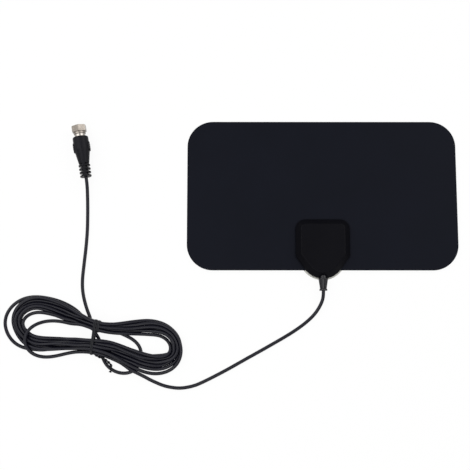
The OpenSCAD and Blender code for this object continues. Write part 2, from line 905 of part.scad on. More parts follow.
// Turned pin: its free end in the coupling nut, and a thicker barrel that the insulator holds
module centre_pin() {
  color("#c77b3c")
    place_plug() {
      translate([0, 0, centre_pin_recess])
        cylinder(r = centre_pin_r, h = flange_z - centre_pin_recess);
      translate([0, 0, flange_z])
        cylinder(r = pin_barrel_r, h = post_end_z - flange_z);
    }
}

front_film();
bond_layer();
foil_left();
foil_right();
back_film();
pod_front();
pod_back();
circuit_board();
balun_core();
balun_winding();
chip_capacitors();
contact_left();
contact_right();
coax_clamp();
lead_braid();
lead_dielectric();
lead_core();
strain_relief();
cord_pod_side();
cord_hank();
cord_loop();
cord_plug_side();
twist_tie();
plug_grip();
connector_sleeve();
connector_post();
coupling_nut();
plug_dielectric();
centre_pin();
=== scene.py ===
"""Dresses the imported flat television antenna.

The parts are its sheet, the housing clipped to it, the thin coaxial lead wound into a tied hank,
and the screw-on plug. The floor, the soft light and the camera are set too. Lengths inside the
classes are in millimetres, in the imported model's frame, and every finished mesh is in metres.
"""

import logging
import math
from dataclasses import dataclass, field
from enum import Enum
from typing import Iterable, Sequence

import bmesh
import bpy
import numpy as np
from mathutils import Matrix, Vector


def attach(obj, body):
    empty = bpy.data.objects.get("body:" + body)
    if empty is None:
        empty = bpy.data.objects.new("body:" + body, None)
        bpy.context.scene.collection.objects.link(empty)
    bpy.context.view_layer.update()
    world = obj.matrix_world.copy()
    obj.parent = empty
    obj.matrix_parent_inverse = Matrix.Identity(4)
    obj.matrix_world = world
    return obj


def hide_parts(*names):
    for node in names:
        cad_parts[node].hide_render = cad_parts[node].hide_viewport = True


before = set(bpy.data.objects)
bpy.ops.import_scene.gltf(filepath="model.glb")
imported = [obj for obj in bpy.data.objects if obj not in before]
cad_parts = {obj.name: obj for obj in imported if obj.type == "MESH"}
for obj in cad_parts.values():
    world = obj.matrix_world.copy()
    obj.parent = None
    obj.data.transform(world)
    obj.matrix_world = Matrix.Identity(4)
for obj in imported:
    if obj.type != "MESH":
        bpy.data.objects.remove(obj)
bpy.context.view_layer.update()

LOG = logging.getLogger("antenna")
MM = 0.001
TAU = 2 * math.pi
# Points of a mesh that are closer than this, in metres, are one
MERGE = 1e-7
# Edges that turn by more than this, in degrees, are rounded
ROUNDED_FROM = 30
# What is shorter or smaller than these is nothing to divide by
NO_LENGTH = 1e-6
NO_AREA = 1e-9
# Lays what is made along Z down along Y, its foot at the far end
LAID_DOWN = Matrix.Rotation(math.pi / 2, 4, "X")
# Sizes that several parts share: the lead, its hole, the housing's nose and the lead's axis there,
# and the tie's middle and turn
LEAD_R = 1.4
LEAD_HOLE_R = 1.45
NOSE_Y = -64.8
AXIS_Z = 4.4
TIE_AT = (-182.4, -110.6)
TIE_TURN = -8.0

Point = tuple[float, float, float]
Pair = tuple[float, float]


def linear(code: str) -> tuple[float, float, float, float]:
    """Turns an sRGB hex colour into Blender's linear colour, by the sRGB standard's curve.

    Args:
        code: The colour as "#rrggbb".

    Returns:
        Red, green, blue and an alpha of 1.
    """
    shares = [int(code[i : i + 2], 16) / 255 for i in (1, 3, 5)]
    red, green, blue = (s / 12.92 if s <= 0.04045 else ((s + 0.055) / 1.055) ** 2.4 for s in shares)
    return red, green, blue, 1.0


def add(
    tree: bpy.types.NodeTree, kind: str, inputs: dict | None = None, **settings
) -> bpy.types.Node:
    """Adds a node with its settings and its links.

    Args:
        tree: The tree that gets the node.
        kind: The node's type name.
        inputs: Values or other nodes' output sockets, by the input's name or place.
        settings: The node's own properties.

    Returns:
        The new node.
    """
    made = tree.nodes.new(kind)
    for key, value in settings.items():
        setattr(made, key, value)
    for key, value in (inputs or {}).items():
        if isinstance(value, bpy.types.NodeSocket):
            tree.links.new(value, made.inputs[key])
        else:
            made.inputs[key].default_value = value
    return made


class Relief(Enum):
    """How the fine relief of a surface lies."""

    GRAIN = "grain"
    PEBBLE = "pebble"
    BRUSHED = "brushed"
    WEAVE = "weave"


@dataclass(frozen=True)
class Finish:
    """A material: its colour, gloss, fine relief, and how much both vary over the surface."""

    name: str
    colour: str
    roughness: float
    metallic: float = 0.0
    ior: float = 1.5
    specular: float = 0.5
    relief: Relief = Relief.GRAIN
    relief_mm: float = 0.5
    relief_depth_mm: float = 0.02
    relief_strength: float = 0.6
    second_colour: str = ""
    blotch_mm: float = 12.0
    # The range that holds most values of a noise texture
    blotch_range: Pair = (0.3, 0.7)
    spread: float = 0.06
    coat: float = 0.0
    subsurface: float = 0.0
    light_depth_mm: float = 1.5
    # Scale of a brushed relief along Y, as a share of its scale across Y
    brush_share: float = 0.06
    # Blender's wave texture multiplies its place by this
    wave_rate: float = 20.0

    def material(self) -> bpy.types.Material:
        """Builds the material once, and gives the same one after that.

        Returns:
            The material.
        """
        known = bpy.data.materials.get(self.name)
        if known:
            return known
        made = bpy.data.materials.new(self.name)
        made.use_nodes = True
        tree = made.node_tree
        tree.nodes.clear()
        place = add(tree, "ShaderNodeTexCoord").outputs["Object"]
        noise = {"Scale": 1 / (self.blotch_mm * MM), "Detail": 3.0, "Roughness": 0.55}
        blotch = add(tree, "ShaderNodeTexNoise", {"Vector": place, **noise}).outputs["Fac"]
        tones = {6: linear(self.colour), 7: linear(self.second_colour or self.colour)}
        tint = add(tree, "ShaderNodeMix", {0: blotch, **tones}, data_type="RGBA").outputs[2]
        ranges = {
            "From Min": self.blotch_range[0],
            "From Max": self.blotch_range[1],
            "To Min": self.roughness - self.spread,
            "To Max": self.roughness + self.spread,
        }
        gloss = add(tree, "ShaderNodeMapRange", {"Value": blotch, **ranges}).outputs["Result"]
        depth = {"Strength": self.relief_strength, "Distance": self.relief_depth_mm * MM}
        bump = add(tree, "ShaderNodeBump", {"Height": self.height(tree, place), **depth})
        surface = {
            "Base Color": tint,
            "Roughness": gloss,
            "Normal": bump.outputs["Normal"],
            "Metallic": self.metallic,
            "Specular IOR Level": self.specular,
            "Coat Weight": self.coat,
            "Subsurface Weight": self.subsurface,
            "Subsurface Scale": self.light_depth_mm * MM,
        }
        if self.metallic < 1:
            surface["IOR"] = self.ior
        shader = add(tree, "ShaderNodeBsdfPrincipled", surface)
        add(tree, "ShaderNodeOutputMaterial", {"Surface": shader.outputs[0]})
        return made

    def height(self, tree: bpy.types.NodeTree, place: bpy.types.NodeSocket) -> bpy.types.NodeSocket:
        """Adds the pattern of the surface's fine relief.

        Args:
            tree: The material's tree.
            place: The surface's place on the object.

        Returns:
            The pattern's height, from 0 to 1.
        """
        at = {"Vector": place, "Scale": 1 / (self.relief_mm * MM)}
        if self.relief is Relief.PEBBLE:
            return add(tree, "ShaderNodeTexVoronoi", at, feature="SMOOTH_F1").outputs["Distance"]
        if self.relief is Relief.WEAVE:
            at["Scale"] /= self.wave_rate
            along, across = (
                add(tree, "ShaderNodeTexWave", at, bands_direction=way).outputs["Fac"]
                for way in "XY"
            )
            both = {0: along, 1: across}
            return add(tree, "ShaderNodeMath", both, operation="MULTIPLY").outputs[0]
        if self.relief is Relief.BRUSHED:
            drawn = {"Vector": place, "Scale": (1.0, self.brush_share, 1.0)}
            at["Vector"] = add(tree, "ShaderNodeMapping", drawn).outputs[0]
            return add(tree, "ShaderNodeTexNoise", {**at, "Detail": 4.0}).outputs["Fac"]
        grain = {**at, "Detail": 5.0, "Roughness": 0.6}
        return add(tree, "ShaderNodeTexNoise", grain).outputs["Fac"]


# Matt embossed PVC film, calendered: a fine grain keeps its gloss low and even
FRONT_FILM = Finish(
    "matt_black_film", "#0d0f16", 0.46, specular=0.05, relief=Relief.PEBBLE, relief_mm=0.7,
    relief_depth_mm=0.03, second_colour="#10121b", blotch_mm=45, spread=0.04,
)
# Smooth white PVC film: an even, slightly warm white
BACK_FILM = Finish(
    "white_film", "#e6e6e1", 0.4, relief_mm=0.8, relief_depth_mm=0.01, second_colour="#dededa",
    blotch_mm=40,
)
# Pressure-sensitive acrylic adhesive: a dull, faintly yellow milky layer
ADHESIVE = Finish(
    "acrylic_adhesive", "#d9d4c4", 0.55, second_colour="#cfc9b6", relief_mm=1.2, blotch_mm=9,
)
# Rolled aluminium foil: bright, with fine rolling lines
FOIL = Finish(
    "rolled_aluminium_foil", "#c6c9cc", 0.3, metallic=1.0, relief=Relief.BRUSHED, relief_mm=0.3,
    relief_depth_mm=0.01, second_colour="#b9bcc0",
)
# Black ABS, injection moulded in a finely eroded mould: satin, with soft highlights on its bevels
BLACK_ABS = Finish(
    "moulded_black_abs", "#040408", 0.42, ior=1.54, specular=0.045, relief=Relief.PEBBLE,
    relief_mm=0.35, relief_depth_mm=0.012, second_colour="#06060b", blotch_mm=22, spread=0.05,
)
# White ABS, injection moulded: the same satin surface, a warm off-white
WHITE_ABS = Finish(
    "moulded_white_abs", "#c6c6bf", 0.42, ior=1.54, relief=Relief.PEBBLE, relief_mm=0.35,
    relief_depth_mm=0.01, second_colour="#bcbcb4", blotch_mm=18,
)
# Glass-fibre circuit board under green solder resist: the cloth's weave shows faintly
BOARD = Finish(
    "circuit_board", "#1d5a39", 0.35, relief=Relief.WEAVE, relief_mm=0.5, relief_depth_mm=0.02,
    second_colour="#174c2f", blotch_mm=6, coat=0.3,
)
# Sintered ferrite: dark grey, dull and slightly porous
FERRITE = Finish(
    "sintered_ferrite", "#38383a", 0.6, relief_mm=0.3, relief_depth_mm=0.04,
    second_colour="#2d2d2f",
)
# Enamelled copper wire: red-brown under a thin clear enamel
COPPER = Finish(
    "drawn_copper", "#b4622a", 0.28, metallic=1.0, relief=Relief.BRUSHED, relief_mm=0.2,
    relief_depth_mm=0.006, second_colour="#a3521f", blotch_mm=3,
)
# Ceramic chip: a buff, finely sintered body
CERAMIC = Finish(
    "chip_ceramic", "#b9a27a", 0.45, relief_mm=0.2, second_colour="#ad956c", blotch_mm=2,
)
# Tinned steel and brass: pale grey, with a soft uneven gloss
TINNED = Finish(
    "tinned_metal", "#c6c8cc", 0.34, metallic=1.0, relief_mm=0.4, relief_depth_mm=0.015,
    second_colour="#b5b7ba", blotch_mm=3,
)
# Woven tinned-copper braid: a grey metal with a fine criss-cross
BRAID = Finish(
    "tinned_braid", "#b5b0a6", 0.42, metallic=1.0, relief=Relief.WEAVE, relief_mm=0.5,
    relief_depth_mm=0.08, second_colour="#a29c90", blotch_mm=1.5,
)
# Polyethylene insulator: a waxy white that lets light in
POLYETHYLENE = Finish(
    "polyethylene", "#efeee8", 0.38, ior=1.51, relief_mm=0.6, second_colour="#e6e4dc",
    subsurface=0.2,
)
# Extruded PVC jacket: satin black, with faint lengthwise unevenness and a soft broad highlight
JACKET = Finish(
    "extruded_black_pvc", "#0b0b15", 0.29, ior=1.53, specular=0.17, relief_mm=1.4,
    relief_depth_mm=0.02, second_colour="#10101b", blotch_mm=16, spread=0.06,
)
# Soft moulded PVC of the plug's grip: duller than the jacket
SOFT_PVC = Finish(
    "moulded_soft_pvc", "#07070d", 0.4, ior=1.53, specular=0.11, relief_mm=0.5,
    relief_depth_mm=0.02, second_colour="#0c0c12", blotch_mm=10,
)
# Polished soft PVC of the strain relief: its ribs and waist catch more light than the grip
RELIEF_PVC = Finish(
    "polished_soft_pvc", "#0b0b10", 0.26, ior=1.53, specular=0.3, relief_mm=0.5,
    relief_depth_mm=0.02, second_colour="#101016", blotch_mm=10,
)
# Vinyl over a steel wire, as on a bag tie: black, thin and slightly glossy
TIE_VINYL = Finish(
    "vinyl_tie_ribbon", "#08090f", 0.36, specular=0.2, relief=Relief.BRUSHED, relief_mm=0.4,
    relief_depth_mm=0.03, second_colour="#0d0e15", blotch_mm=5,
)
# Bright nickel plate on turned brass: a slightly warm silver with fine tool marks
NICKEL = Finish(
    "bright_nickel_plate", "#8f8880", 0.3, metallic=1.0, relief=Relief.BRUSHED, relief_mm=0.35,
    relief_depth_mm=0.02, second_colour="#6f6963", blotch_mm=2.5, spread=0.08,
)
# The same plate on the smooth turned sleeve, its colour painted lighter than the nut's as a painted
# highlight: it shows bright patches between dark stripes
POLISHED_NICKEL_PAINTED_LIGHTER = Finish(
    "polished_nickel_painted_lighter", "#a39e98", 0.14, metallic=1.0, relief=Relief.BRUSHED, relief_mm=0.35,
    relief_depth_mm=0.005, second_colour="#9a958f", blotch_mm=4, spread=0.03,
)


def piece(
    name: str, points: Iterable[Sequence[float]], faces: Iterable[Sequence[int]], finish: Finish
) -> bpy.types.Object:
    """Makes an object from points in millimetres and faces.

    Args:
        name: The object's name.
        points: The mesh's points, in millimetres.
        faces: The mesh's faces, as places in points.
        finish: What it is made of.

    Returns:
        The object, at the origin.
    """
    mesh = bpy.data.meshes.new(name)
    mesh.from_pydata([[c * MM for c in p] for p in points], [], [list(f) for f in faces])
    mesh.validate()
    work = bmesh.new()
    work.from_mesh(mesh)
    bmesh.ops.remove_doubles(work, verts=work.verts, dist=MERGE)
    bmesh.ops.recalc_face_normals(work, faces=work.faces)
    work.to_mesh(mesh)
    work.free()
    mesh.materials.append(finish.material())
    made = bpy.data.objects.new(name, mesh)
    bpy.context.scene.collection.objects.link(made)
    return made


def settled(made: bpy.types.Object) -> bpy.types.Object:
    """Turns an object's modifiers into its plain mesh.

    Args:
        made: The object.

    Returns:
        The same object, with no modifiers.
    """
    seen = made.evaluated_get(bpy.context.evaluated_depsgraph_get())
    mesh = bpy.data.meshes.new_from_object(seen)
    made.modifiers.clear()
    made.data = mesh
    return made


def combine(made: bpy.types.Object, tool: bpy.types.Object, how: str) -> bpy.types.Object:
    """Cuts, joins or intersects one solid with another, which is used up.

    Args:
        made: The solid that is kept.
        tool: The other solid.
        how: "DIFFERENCE", "UNION" or "INTERSECT".

    Returns:
        The kept solid.
    """
    step = made.modifiers.new("combine", "BOOLEAN")
    step.operation = how
    step.solver = "EXACT"
    step.object = tool
    settled(made)
    bpy.data.objects.remove(tool)
    return made


def softened(made: bpy.types.Object, width: float = 0.0, sharp: float = 35.0) -> bpy.types.Object:
    """Rounds a solid's edges a little and gives it smooth shading with even flats.

    Args:
        made: The solid.
        width: The width of the rounding in millimetres, or 0 for none.
        sharp: The angle in degrees from which an edge stays sharp.

    Returns:
        The same solid.
    """
    if width:
        bevel = made.modifiers.new("round", "BEVEL")
        bevel.width = width * MM
        bevel.segments = 2
        bevel.limit_method = "ANGLE"
        bevel.angle_limit = math.radians(ROUNDED_FROM)
        bevel.use_clamp_overlap = True
        settled(made)
    made.data.polygons.foreach_set("use_smooth", [True] * len(made.data.polygons))
    made.data.set_sharp_from_angle(angle=math.radians(sharp))
    even = made.modifiers.new("even", "WEIGHTED_NORMAL")
    even.keep_sharp = True
    return settled(made)


def loft(rings: Sequence[Sequence[Sequence[float]]], closed: bool = False) -> tuple[list, list]:
    """Joins rings of equally many points into a solid.

    Args:
        rings: The rings, each with the same number of points.
        closed: Whether the last ring joins the first; otherwise the ends get flat faces.

    Returns:
        The solid's points and faces.
    """
    count = len(rings[0])
    points = [p for ring in rings for p in ring]
    faces: list[list[int]] = []
    for i in range(len(rings) if closed else len(rings) - 1):
        j = (i + 1) % len(rings)
        for k in range(count):
            m = (k + 1) % count
            faces.append([i * count + k, i * count + m, j * count + m, j * count + k])
    if not closed:
        faces.append(list(range(count))[::-1])
        faces.append([(len(rings) - 1) * count + k for k in range(count)])
    return points, faces


def revolve(profile: Sequence[Pair], sides: int, closed: bool = False) -> tuple[list, list]:
    """Turns a profile of radius and height about Z into a solid.

    Args:
        profile: Radius and height of each point.
        sides: Number of points round the axis.
        closed: Whether the profile's last point joins its first, as on a tube.

    Returns:
        The solid's points and faces.
    """
    rings = [
        [(r * math.cos(TAU * k / sides), r * math.sin(TAU * k / sides), z) for k in range(sides)]
        for r, z in profile
    ]
    return loft(rings, closed)


def rounded(
    profile: Sequence[Pair], radius: float, steps: int = 4, closed: bool = False
) -> list[Pair]:
    """Rounds the inner corners of a line of points.

    Args:
        profile: The line's points.
        radius: The wished radius; short sides take a smaller one.
        steps: Number of chords in each rounding.
        closed: Whether the line's ends are corners too.

    Returns:
        The rounded line's points.
    """
    out: list[Pair] = []
    count = len(profile)
    least_tangent, most_of_side = 1e-3, 0.45
    for i, here in enumerate(profile):
        if not closed and i in (0, count - 1):
            out.append(here)
            continue
        p = np.array(here, float)
        before = np.array(profile[i - 1], float) - p
        after = np.array(profile[(i + 1) % count], float) - p
        back, on = np.linalg.norm(before), np.linalg.norm(after)
        if min(back, on) < NO_LENGTH:
            out.append(here)
            continue
        before, after = before / back, after / on
        half = math.acos(float(np.clip(before @ after, -1, 1))) / 2
        wished = radius / max(math.tan(half), least_tangent)
        reach = min(wished, most_of_side * back, most_of_side * on)
        for s in range(steps + 1):
            t = s / steps
            first, last = p + before * reach, p + after * reach
            q = (1 - t) ** 2 * first + 2 * t * (1 - t) * p + t * t * last
            out.append((float(q[0]), float(q[1])))
    return out


def new_tree(name: str, sizes: dict[str, str]) -> tuple[bpy.types.NodeTree, Sequence]:
    """Starts a Geometry Nodes tree that takes a geometry and named sizes, and gives a geometry.

    Args:
        name: The tree's name.
        sizes: The kind of each size, "Int", "Float" or "Vector", by its name.

    Returns:
        The tree, and the sockets of what it is given.
    """
    tree = bpy.data.node_groups.new(name, "GeometryNodeTree")
    for way in ("INPUT", "OUTPUT"):
        tree.interface.new_socket("Geometry", in_out=way, socket_type="NodeSocketGeometry")
    for size, kind in sizes.items():
        tree.interface.new_socket(size, in_out="INPUT", socket_type="NodeSocket" + kind)
    return tree, add(tree, "NodeGroupInput").outputs


def end_tree(tree: bpy.types.NodeTree, shape: bpy.types.NodeSocket, finish: Finish) -> None:
    """Ends a tree: what it repeats is made real, gets its material and goes out.

    Args:
        tree: The tree.
        shape: The output that gives the finished shape.
        finish: The material that the shape gets.
    """
    real = add(tree, "GeometryNodeRealizeInstances", {"Geometry": shape}).outputs[0]
    worn = {"Geometry": real, "Material": finish.material()}
    dressed = add(tree, "GeometryNodeSetMaterial", worn).outputs[0]
    add(tree, "NodeGroupOutput", {"Geometry": dressed})


def repeat_tree(finish: Finish) -> bpy.types.NodeTree:
    """Builds the tree that repeats a piece a number of times along a step, round a turn, or both.

    Args:
        finish: The material that its copies get.

    Returns:
        The tree, whose inputs are Count, Step, Turn and Growth.
    """
    sizes = {"Count": "Int", "Step": "Vector", "Turn": "Vector", "Growth": "Float"}
    tree, given = new_tree("repeated_" + finish.name, sizes)
    index = add(tree, "GeometryNodeInputIndex").outputs[0]
    step, turn = (
        add(tree, "ShaderNodeVectorMath", {0: given[way], "Scale": index}, operation="SCALE")
        for way in ("Step", "Turn")
    )
    growth = add(
        tree,
        "ShaderNodeMath",
        {0: given["Growth"], 1: index, 2: 1.0},
        operation="MULTIPLY_ADD",
    )
    dots = {"Count": given["Count"], "Position": step.outputs[0]}
    copies = {
        "Points": add(tree, "GeometryNodePoints", dots).outputs[0],
        "Instance": given["Geometry"],
        "Rotation": turn.outputs[0],
        "Scale": growth.outputs[0],
    }
    end_tree(tree, add(tree, "GeometryNodeInstanceOnPoints", copies).outputs[0], finish)
    return tree


def thread_tree(finish: Finish) -> bpy.types.NodeTree:
    """Builds the tree that sweeps a three-sided ridge along a helix.

    Args:
        finish: The material that the ridge gets.

    Returns:
        The tree, whose inputs are Radius, Length, Turns and Ridge.
    """
    sizes = dict.fromkeys(("Radius", "Length", "Turns", "Ridge"), "Float")
    tree, given = new_tree("helical_thread", sizes)
    helix = {
        "Resolution": 48,
        "Rotations": given["Turns"],
        "Start Radius": given["Radius"],
        "End Radius": given["Radius"],
        "Height": given["Length"],
    }
    ridge = {"Resolution": 3, "Radius": given["Ridge"]}
    sweep = {
        "Curve": add(tree, "GeometryNodeCurveSpiral", helix).outputs[0],
        "Profile Curve": add(tree, "GeometryNodeCurvePrimitiveCircle", ridge).outputs[0],
        "Fill Caps": True,
    }
    end_tree(tree, add(tree, "GeometryNodeCurveToMesh", sweep).outputs[0], finish)
    return tree


def twist_tree(finish: Finish) -> bpy.types.NodeTree:
    """Builds the tree that sweeps two strands, twisted round each other, along a line of edges.

    Args:
        finish: The material that the strands get.

    Returns:
        The tree, whose inputs are Strand and Turns.
    """
    tree, given = new_tree("twisted_pair", {"Strand": "Float", "Turns": "Float"})
    line = add(tree, "GeometryNodeMeshToCurve", {"Mesh": given["Geometry"]}).outputs[0]
    along = add(tree, "GeometryNodeSplineParameter").outputs["Factor"]
    whole = {0: given["Turns"], 1: TAU}
    wound = {0: along, 1: add(tree, "ShaderNodeMath", whole, operation="MULTIPLY").outputs[0]}
    tilt = add(tree, "ShaderNodeMath", wound, operation="MULTIPLY").outputs[0]
    circle = {"Resolution": 10, "Radius": given["Strand"]}
    strand = add(tree, "GeometryNodeCurvePrimitiveCircle", circle).outputs[0]
    both = add(tree, "GeometryNodeJoinGeometry")
    for side in (-1.0, 1.0):
        shift = {0: given["Strand"], 1: side}
        away = add(tree, "ShaderNodeMath", shift, operation="MULTIPLY").outputs[0]
        offset = add(tree, "ShaderNodeCombineXYZ", {"X": away}).outputs[0]
        moved = {"Geometry": strand, "Translation": offset}
        tree.links.new(add(tree, "GeometryNodeTransform", moved).outputs[0], both.inputs[0])
    sweep = {
        "Curve": add(tree, "GeometryNodeSetCurveTilt", {"Curve": line, "Tilt": tilt}).outputs[0],
        "Profile Curve": both.outputs[0],
        "Fill Caps": True,
    }
    end_tree(tree, add(tree, "GeometryNodeCurveToMesh", sweep).outputs[0], finish)
    return tree


def grown(made: bpy.types.Object, tree: bpy.types.NodeTree, **values) -> bpy.types.Object:
    """Runs a Geometry Nodes tree on an object and keeps the result as its plain mesh.

    Args:
        made: The object that the tree starts from.
        tree: The tree.
        values: The tree's inputs, by name.

    Returns:
        The same object.
    """
    step = made.modifiers.new("grow", "NODES")
    step.node_group = tree
    for item in tree.interface.items_tree:
        if item.in_out == "INPUT" and item.name in values:
            step[item.identifier] = values[item.name]
    return settled(made)


def joined(name: str, parts: Sequence[bpy.types.Object]) -> bpy.types.Object:
    """Joins objects into one mesh under a name.

    Args:
        name: The joined object's name.
        parts: The objects, the first of which stays.

    Returns:
        The joined object.
    """
    kept = parts[0]
    work = bmesh.new()
    finishes: list[bpy.types.Material] = []
    for part in parts:
        slot = part.data.materials[0]
        if slot not in finishes:
            finishes.append(slot)
        start = len(work.faces)
        work.from_mesh(part.data)
        work.faces.ensure_lookup_table()
        for f in work.faces[start:]:
            f.material_index = finishes.index(slot)
    mesh = bpy.data.meshes.new(name)
    work.to_mesh(mesh)
    work.free()
    for slot in finishes:
        mesh.materials.append(slot)
    for part in parts[1:]:
        bpy.data.objects.remove(part)
    kept.data = mesh
    kept.name = name
    return kept


def smooth_line(points: np.ndarray, steps: int) -> np.ndarray:
    """Runs a smooth curve through points.

    Args:
        points: The points, one a row.
        steps: Number of chords between two of them.

    Returns:
        The curve's points.
    """
    padded = np.vstack([points[:1], points, points[-1:]])
    a, b, c, d = padded[:-3], padded[1:-2], padded[2:-1], padded[3:]
    rows = []
    for s in range(steps):
        t = s / steps
        square, cube = (2 * a - 5 * b + 4 * c - d) * t * t, (3 * b - a - 3 * c + d) * t**3
        rows.append((2 * b + (c - a) * t + square + cube) / 2)
    curve = np.stack(rows, axis=1).reshape(-1, points.shape[1])
    return np.vstack([curve, points[-1:]])


def spaced(points: np.ndarray, step: float) -> np.ndarray:
    """Sets points along a line at even distances.

    Args:
        points: The line's points, one a row.
        step: The wished distance.

    Returns:
        The evenly spaced points, with both ends kept.
    """
    chords = np.linalg.norm(np.diff(points[:, :3], axis=0), axis=1)
    long = np.concatenate([[0.0], np.cumsum(chords)])
    count = max(2, int(round(long[-1] / step)) + 1)
    at = np.linspace(0, long[-1], count)
    return np.stack([np.interp(at, long, column) for column in points.T], axis=1)


@dataclass
class Studio:
    """The camera at the photograph's angle, a plain pale floor and soft lamps."""

    place: Point = (-70.9, -137.0, 757.4)
    tilt: float = 8.114
    roll: float = 0.03
    sensor_width: float = 36.0
    lens_to_sensor: float = 2.0
    clip_start: float = 0.01
    floor_size: float = 6000.0
    floor_drop: float = 0.05
    floor_colour: str = "#fbfbfa"
    # Share of the floor's white that the camera and gloss see; the rest keeps the shadow
    floor_glow: float = 0.93
    world_level: float = 0.27
    lamp_size: float = 1.1
    lamp_power: float = 7.8
    lamps: tuple[Point, ...] = (
        (-900.0, 500.0, 900.0), (850.0, 450.0, 950.0), (-350.0, -600.0, 1200.0),
    )
    target: Point = (-70.0, -40.0, 0.0)

    def camera(self) -> None:
        """Sets the camera where the photograph was taken from."""
        data = bpy.data.cameras.new("camera")
        data.sensor_width = self.sensor_width
        data.lens = self.lens_to_sensor * data.sensor_width
        data.clip_start = self.clip_start
        made = bpy.data.objects.new("camera", data)
        made.location = [c * MM for c in self.place]
        made.rotation_euler = (math.radians(self.tilt), 0.0, math.radians(self.roll))
        bpy.context.scene.collection.objects.link(made)
        bpy.context.scene.camera = made

    def seen(self, tree: bpy.types.NodeTree, least: float) -> bpy.types.NodeSocket:
        """Gives 1 to rays from the camera, from gloss and through what is clear.

        Args:
            tree: The tree of the floor's material or the world.
            least: What every other ray gets.

        Returns:
            The level, as a node's output.
        """
        path = add(tree, "ShaderNodeLightPath").outputs
        level: bpy.types.NodeSocket | float = least
        for ray in ("Is Camera Ray", "Is Glossy Ray", "Is Transmission Ray"):
            either = {0: path[ray], 1: level}
            level = add(tree, "ShaderNodeMath", either, operation="MAXIMUM").outputs[0]
        return level

    def floor(self) -> None:
        """Lays the pale floor, which shows white to the camera and keeps the shadow."""
        half = self.floor_size / 2
        corners = [
            (x * half, y * half, -self.floor_drop) for x, y in ((-1, -1), (1, -1), (1, 1), (-1, 1))
        ]
        made = piece("floor", corners, [(0, 1, 2, 3)], WHITE_ABS)
        paint = bpy.data.materials.new("white_paper")
        paint.use_nodes = True
        tree = paint.node_tree
        tree.nodes.clear()
        glowing = {0: self.seen(tree, 0.0), 1: self.floor_glow}
        share = add(tree, "ShaderNodeMath", glowing, operation="MULTIPLY").outputs[0]
        paper = add(tree, "ShaderNodeBsdfDiffuse", {"Color": linear(self.floor_colour)})
        glow = add(tree, "ShaderNodeEmission", {"Color": linear("#ffffff"), "Strength": 1.0})
        both = {0: share, 1: paper.outputs[0], 2: glow.outputs[0]}
        mixed = add(tree, "ShaderNodeMixShader", both).outputs[0]
        add(tree, "ShaderNodeOutputMaterial", {"Surface": mixed})
        made.data.materials[0] = paint

    def light(self) -> None:
        """Sets the even world light, which shows white to the camera, and the soft lamps."""
        world = bpy.data.worlds.new("studio")
        world.use_nodes = True
        tree = world.node_tree
        tree.nodes.clear()
        sky = {"Color": linear("#ffffff"), "Strength": self.seen(tree, self.world_level)}
        glow = add(tree, "ShaderNodeBackground", sky).outputs[0]
        add(tree, "ShaderNodeOutputWorld", {"Surface": glow})
        bpy.context.scene.world = world
        for number, spot in enumerate(self.lamps):
            data = bpy.data.lights.new(f"softbox_{number}", "AREA")
            data.shape = "SQUARE"
            data.size = self.lamp_size
            data.energy = self.lamp_power
            made = bpy.data.objects.new(data.name, data)
            made.location = [c * MM for c in spot]
            aim = Vector(self.target) - Vector(spot)
            made.rotation_euler = aim.to_track_quat("-Z", "Y").to_euler()
            bpy.context.scene.collection.objects.link(made)

    def build(self) -> None:
        """Sets the camera, the floor and the light."""
        self.camera()
        self.floor()
        self.light()
        bpy.context.scene.view_settings.view_transform = "Standard"


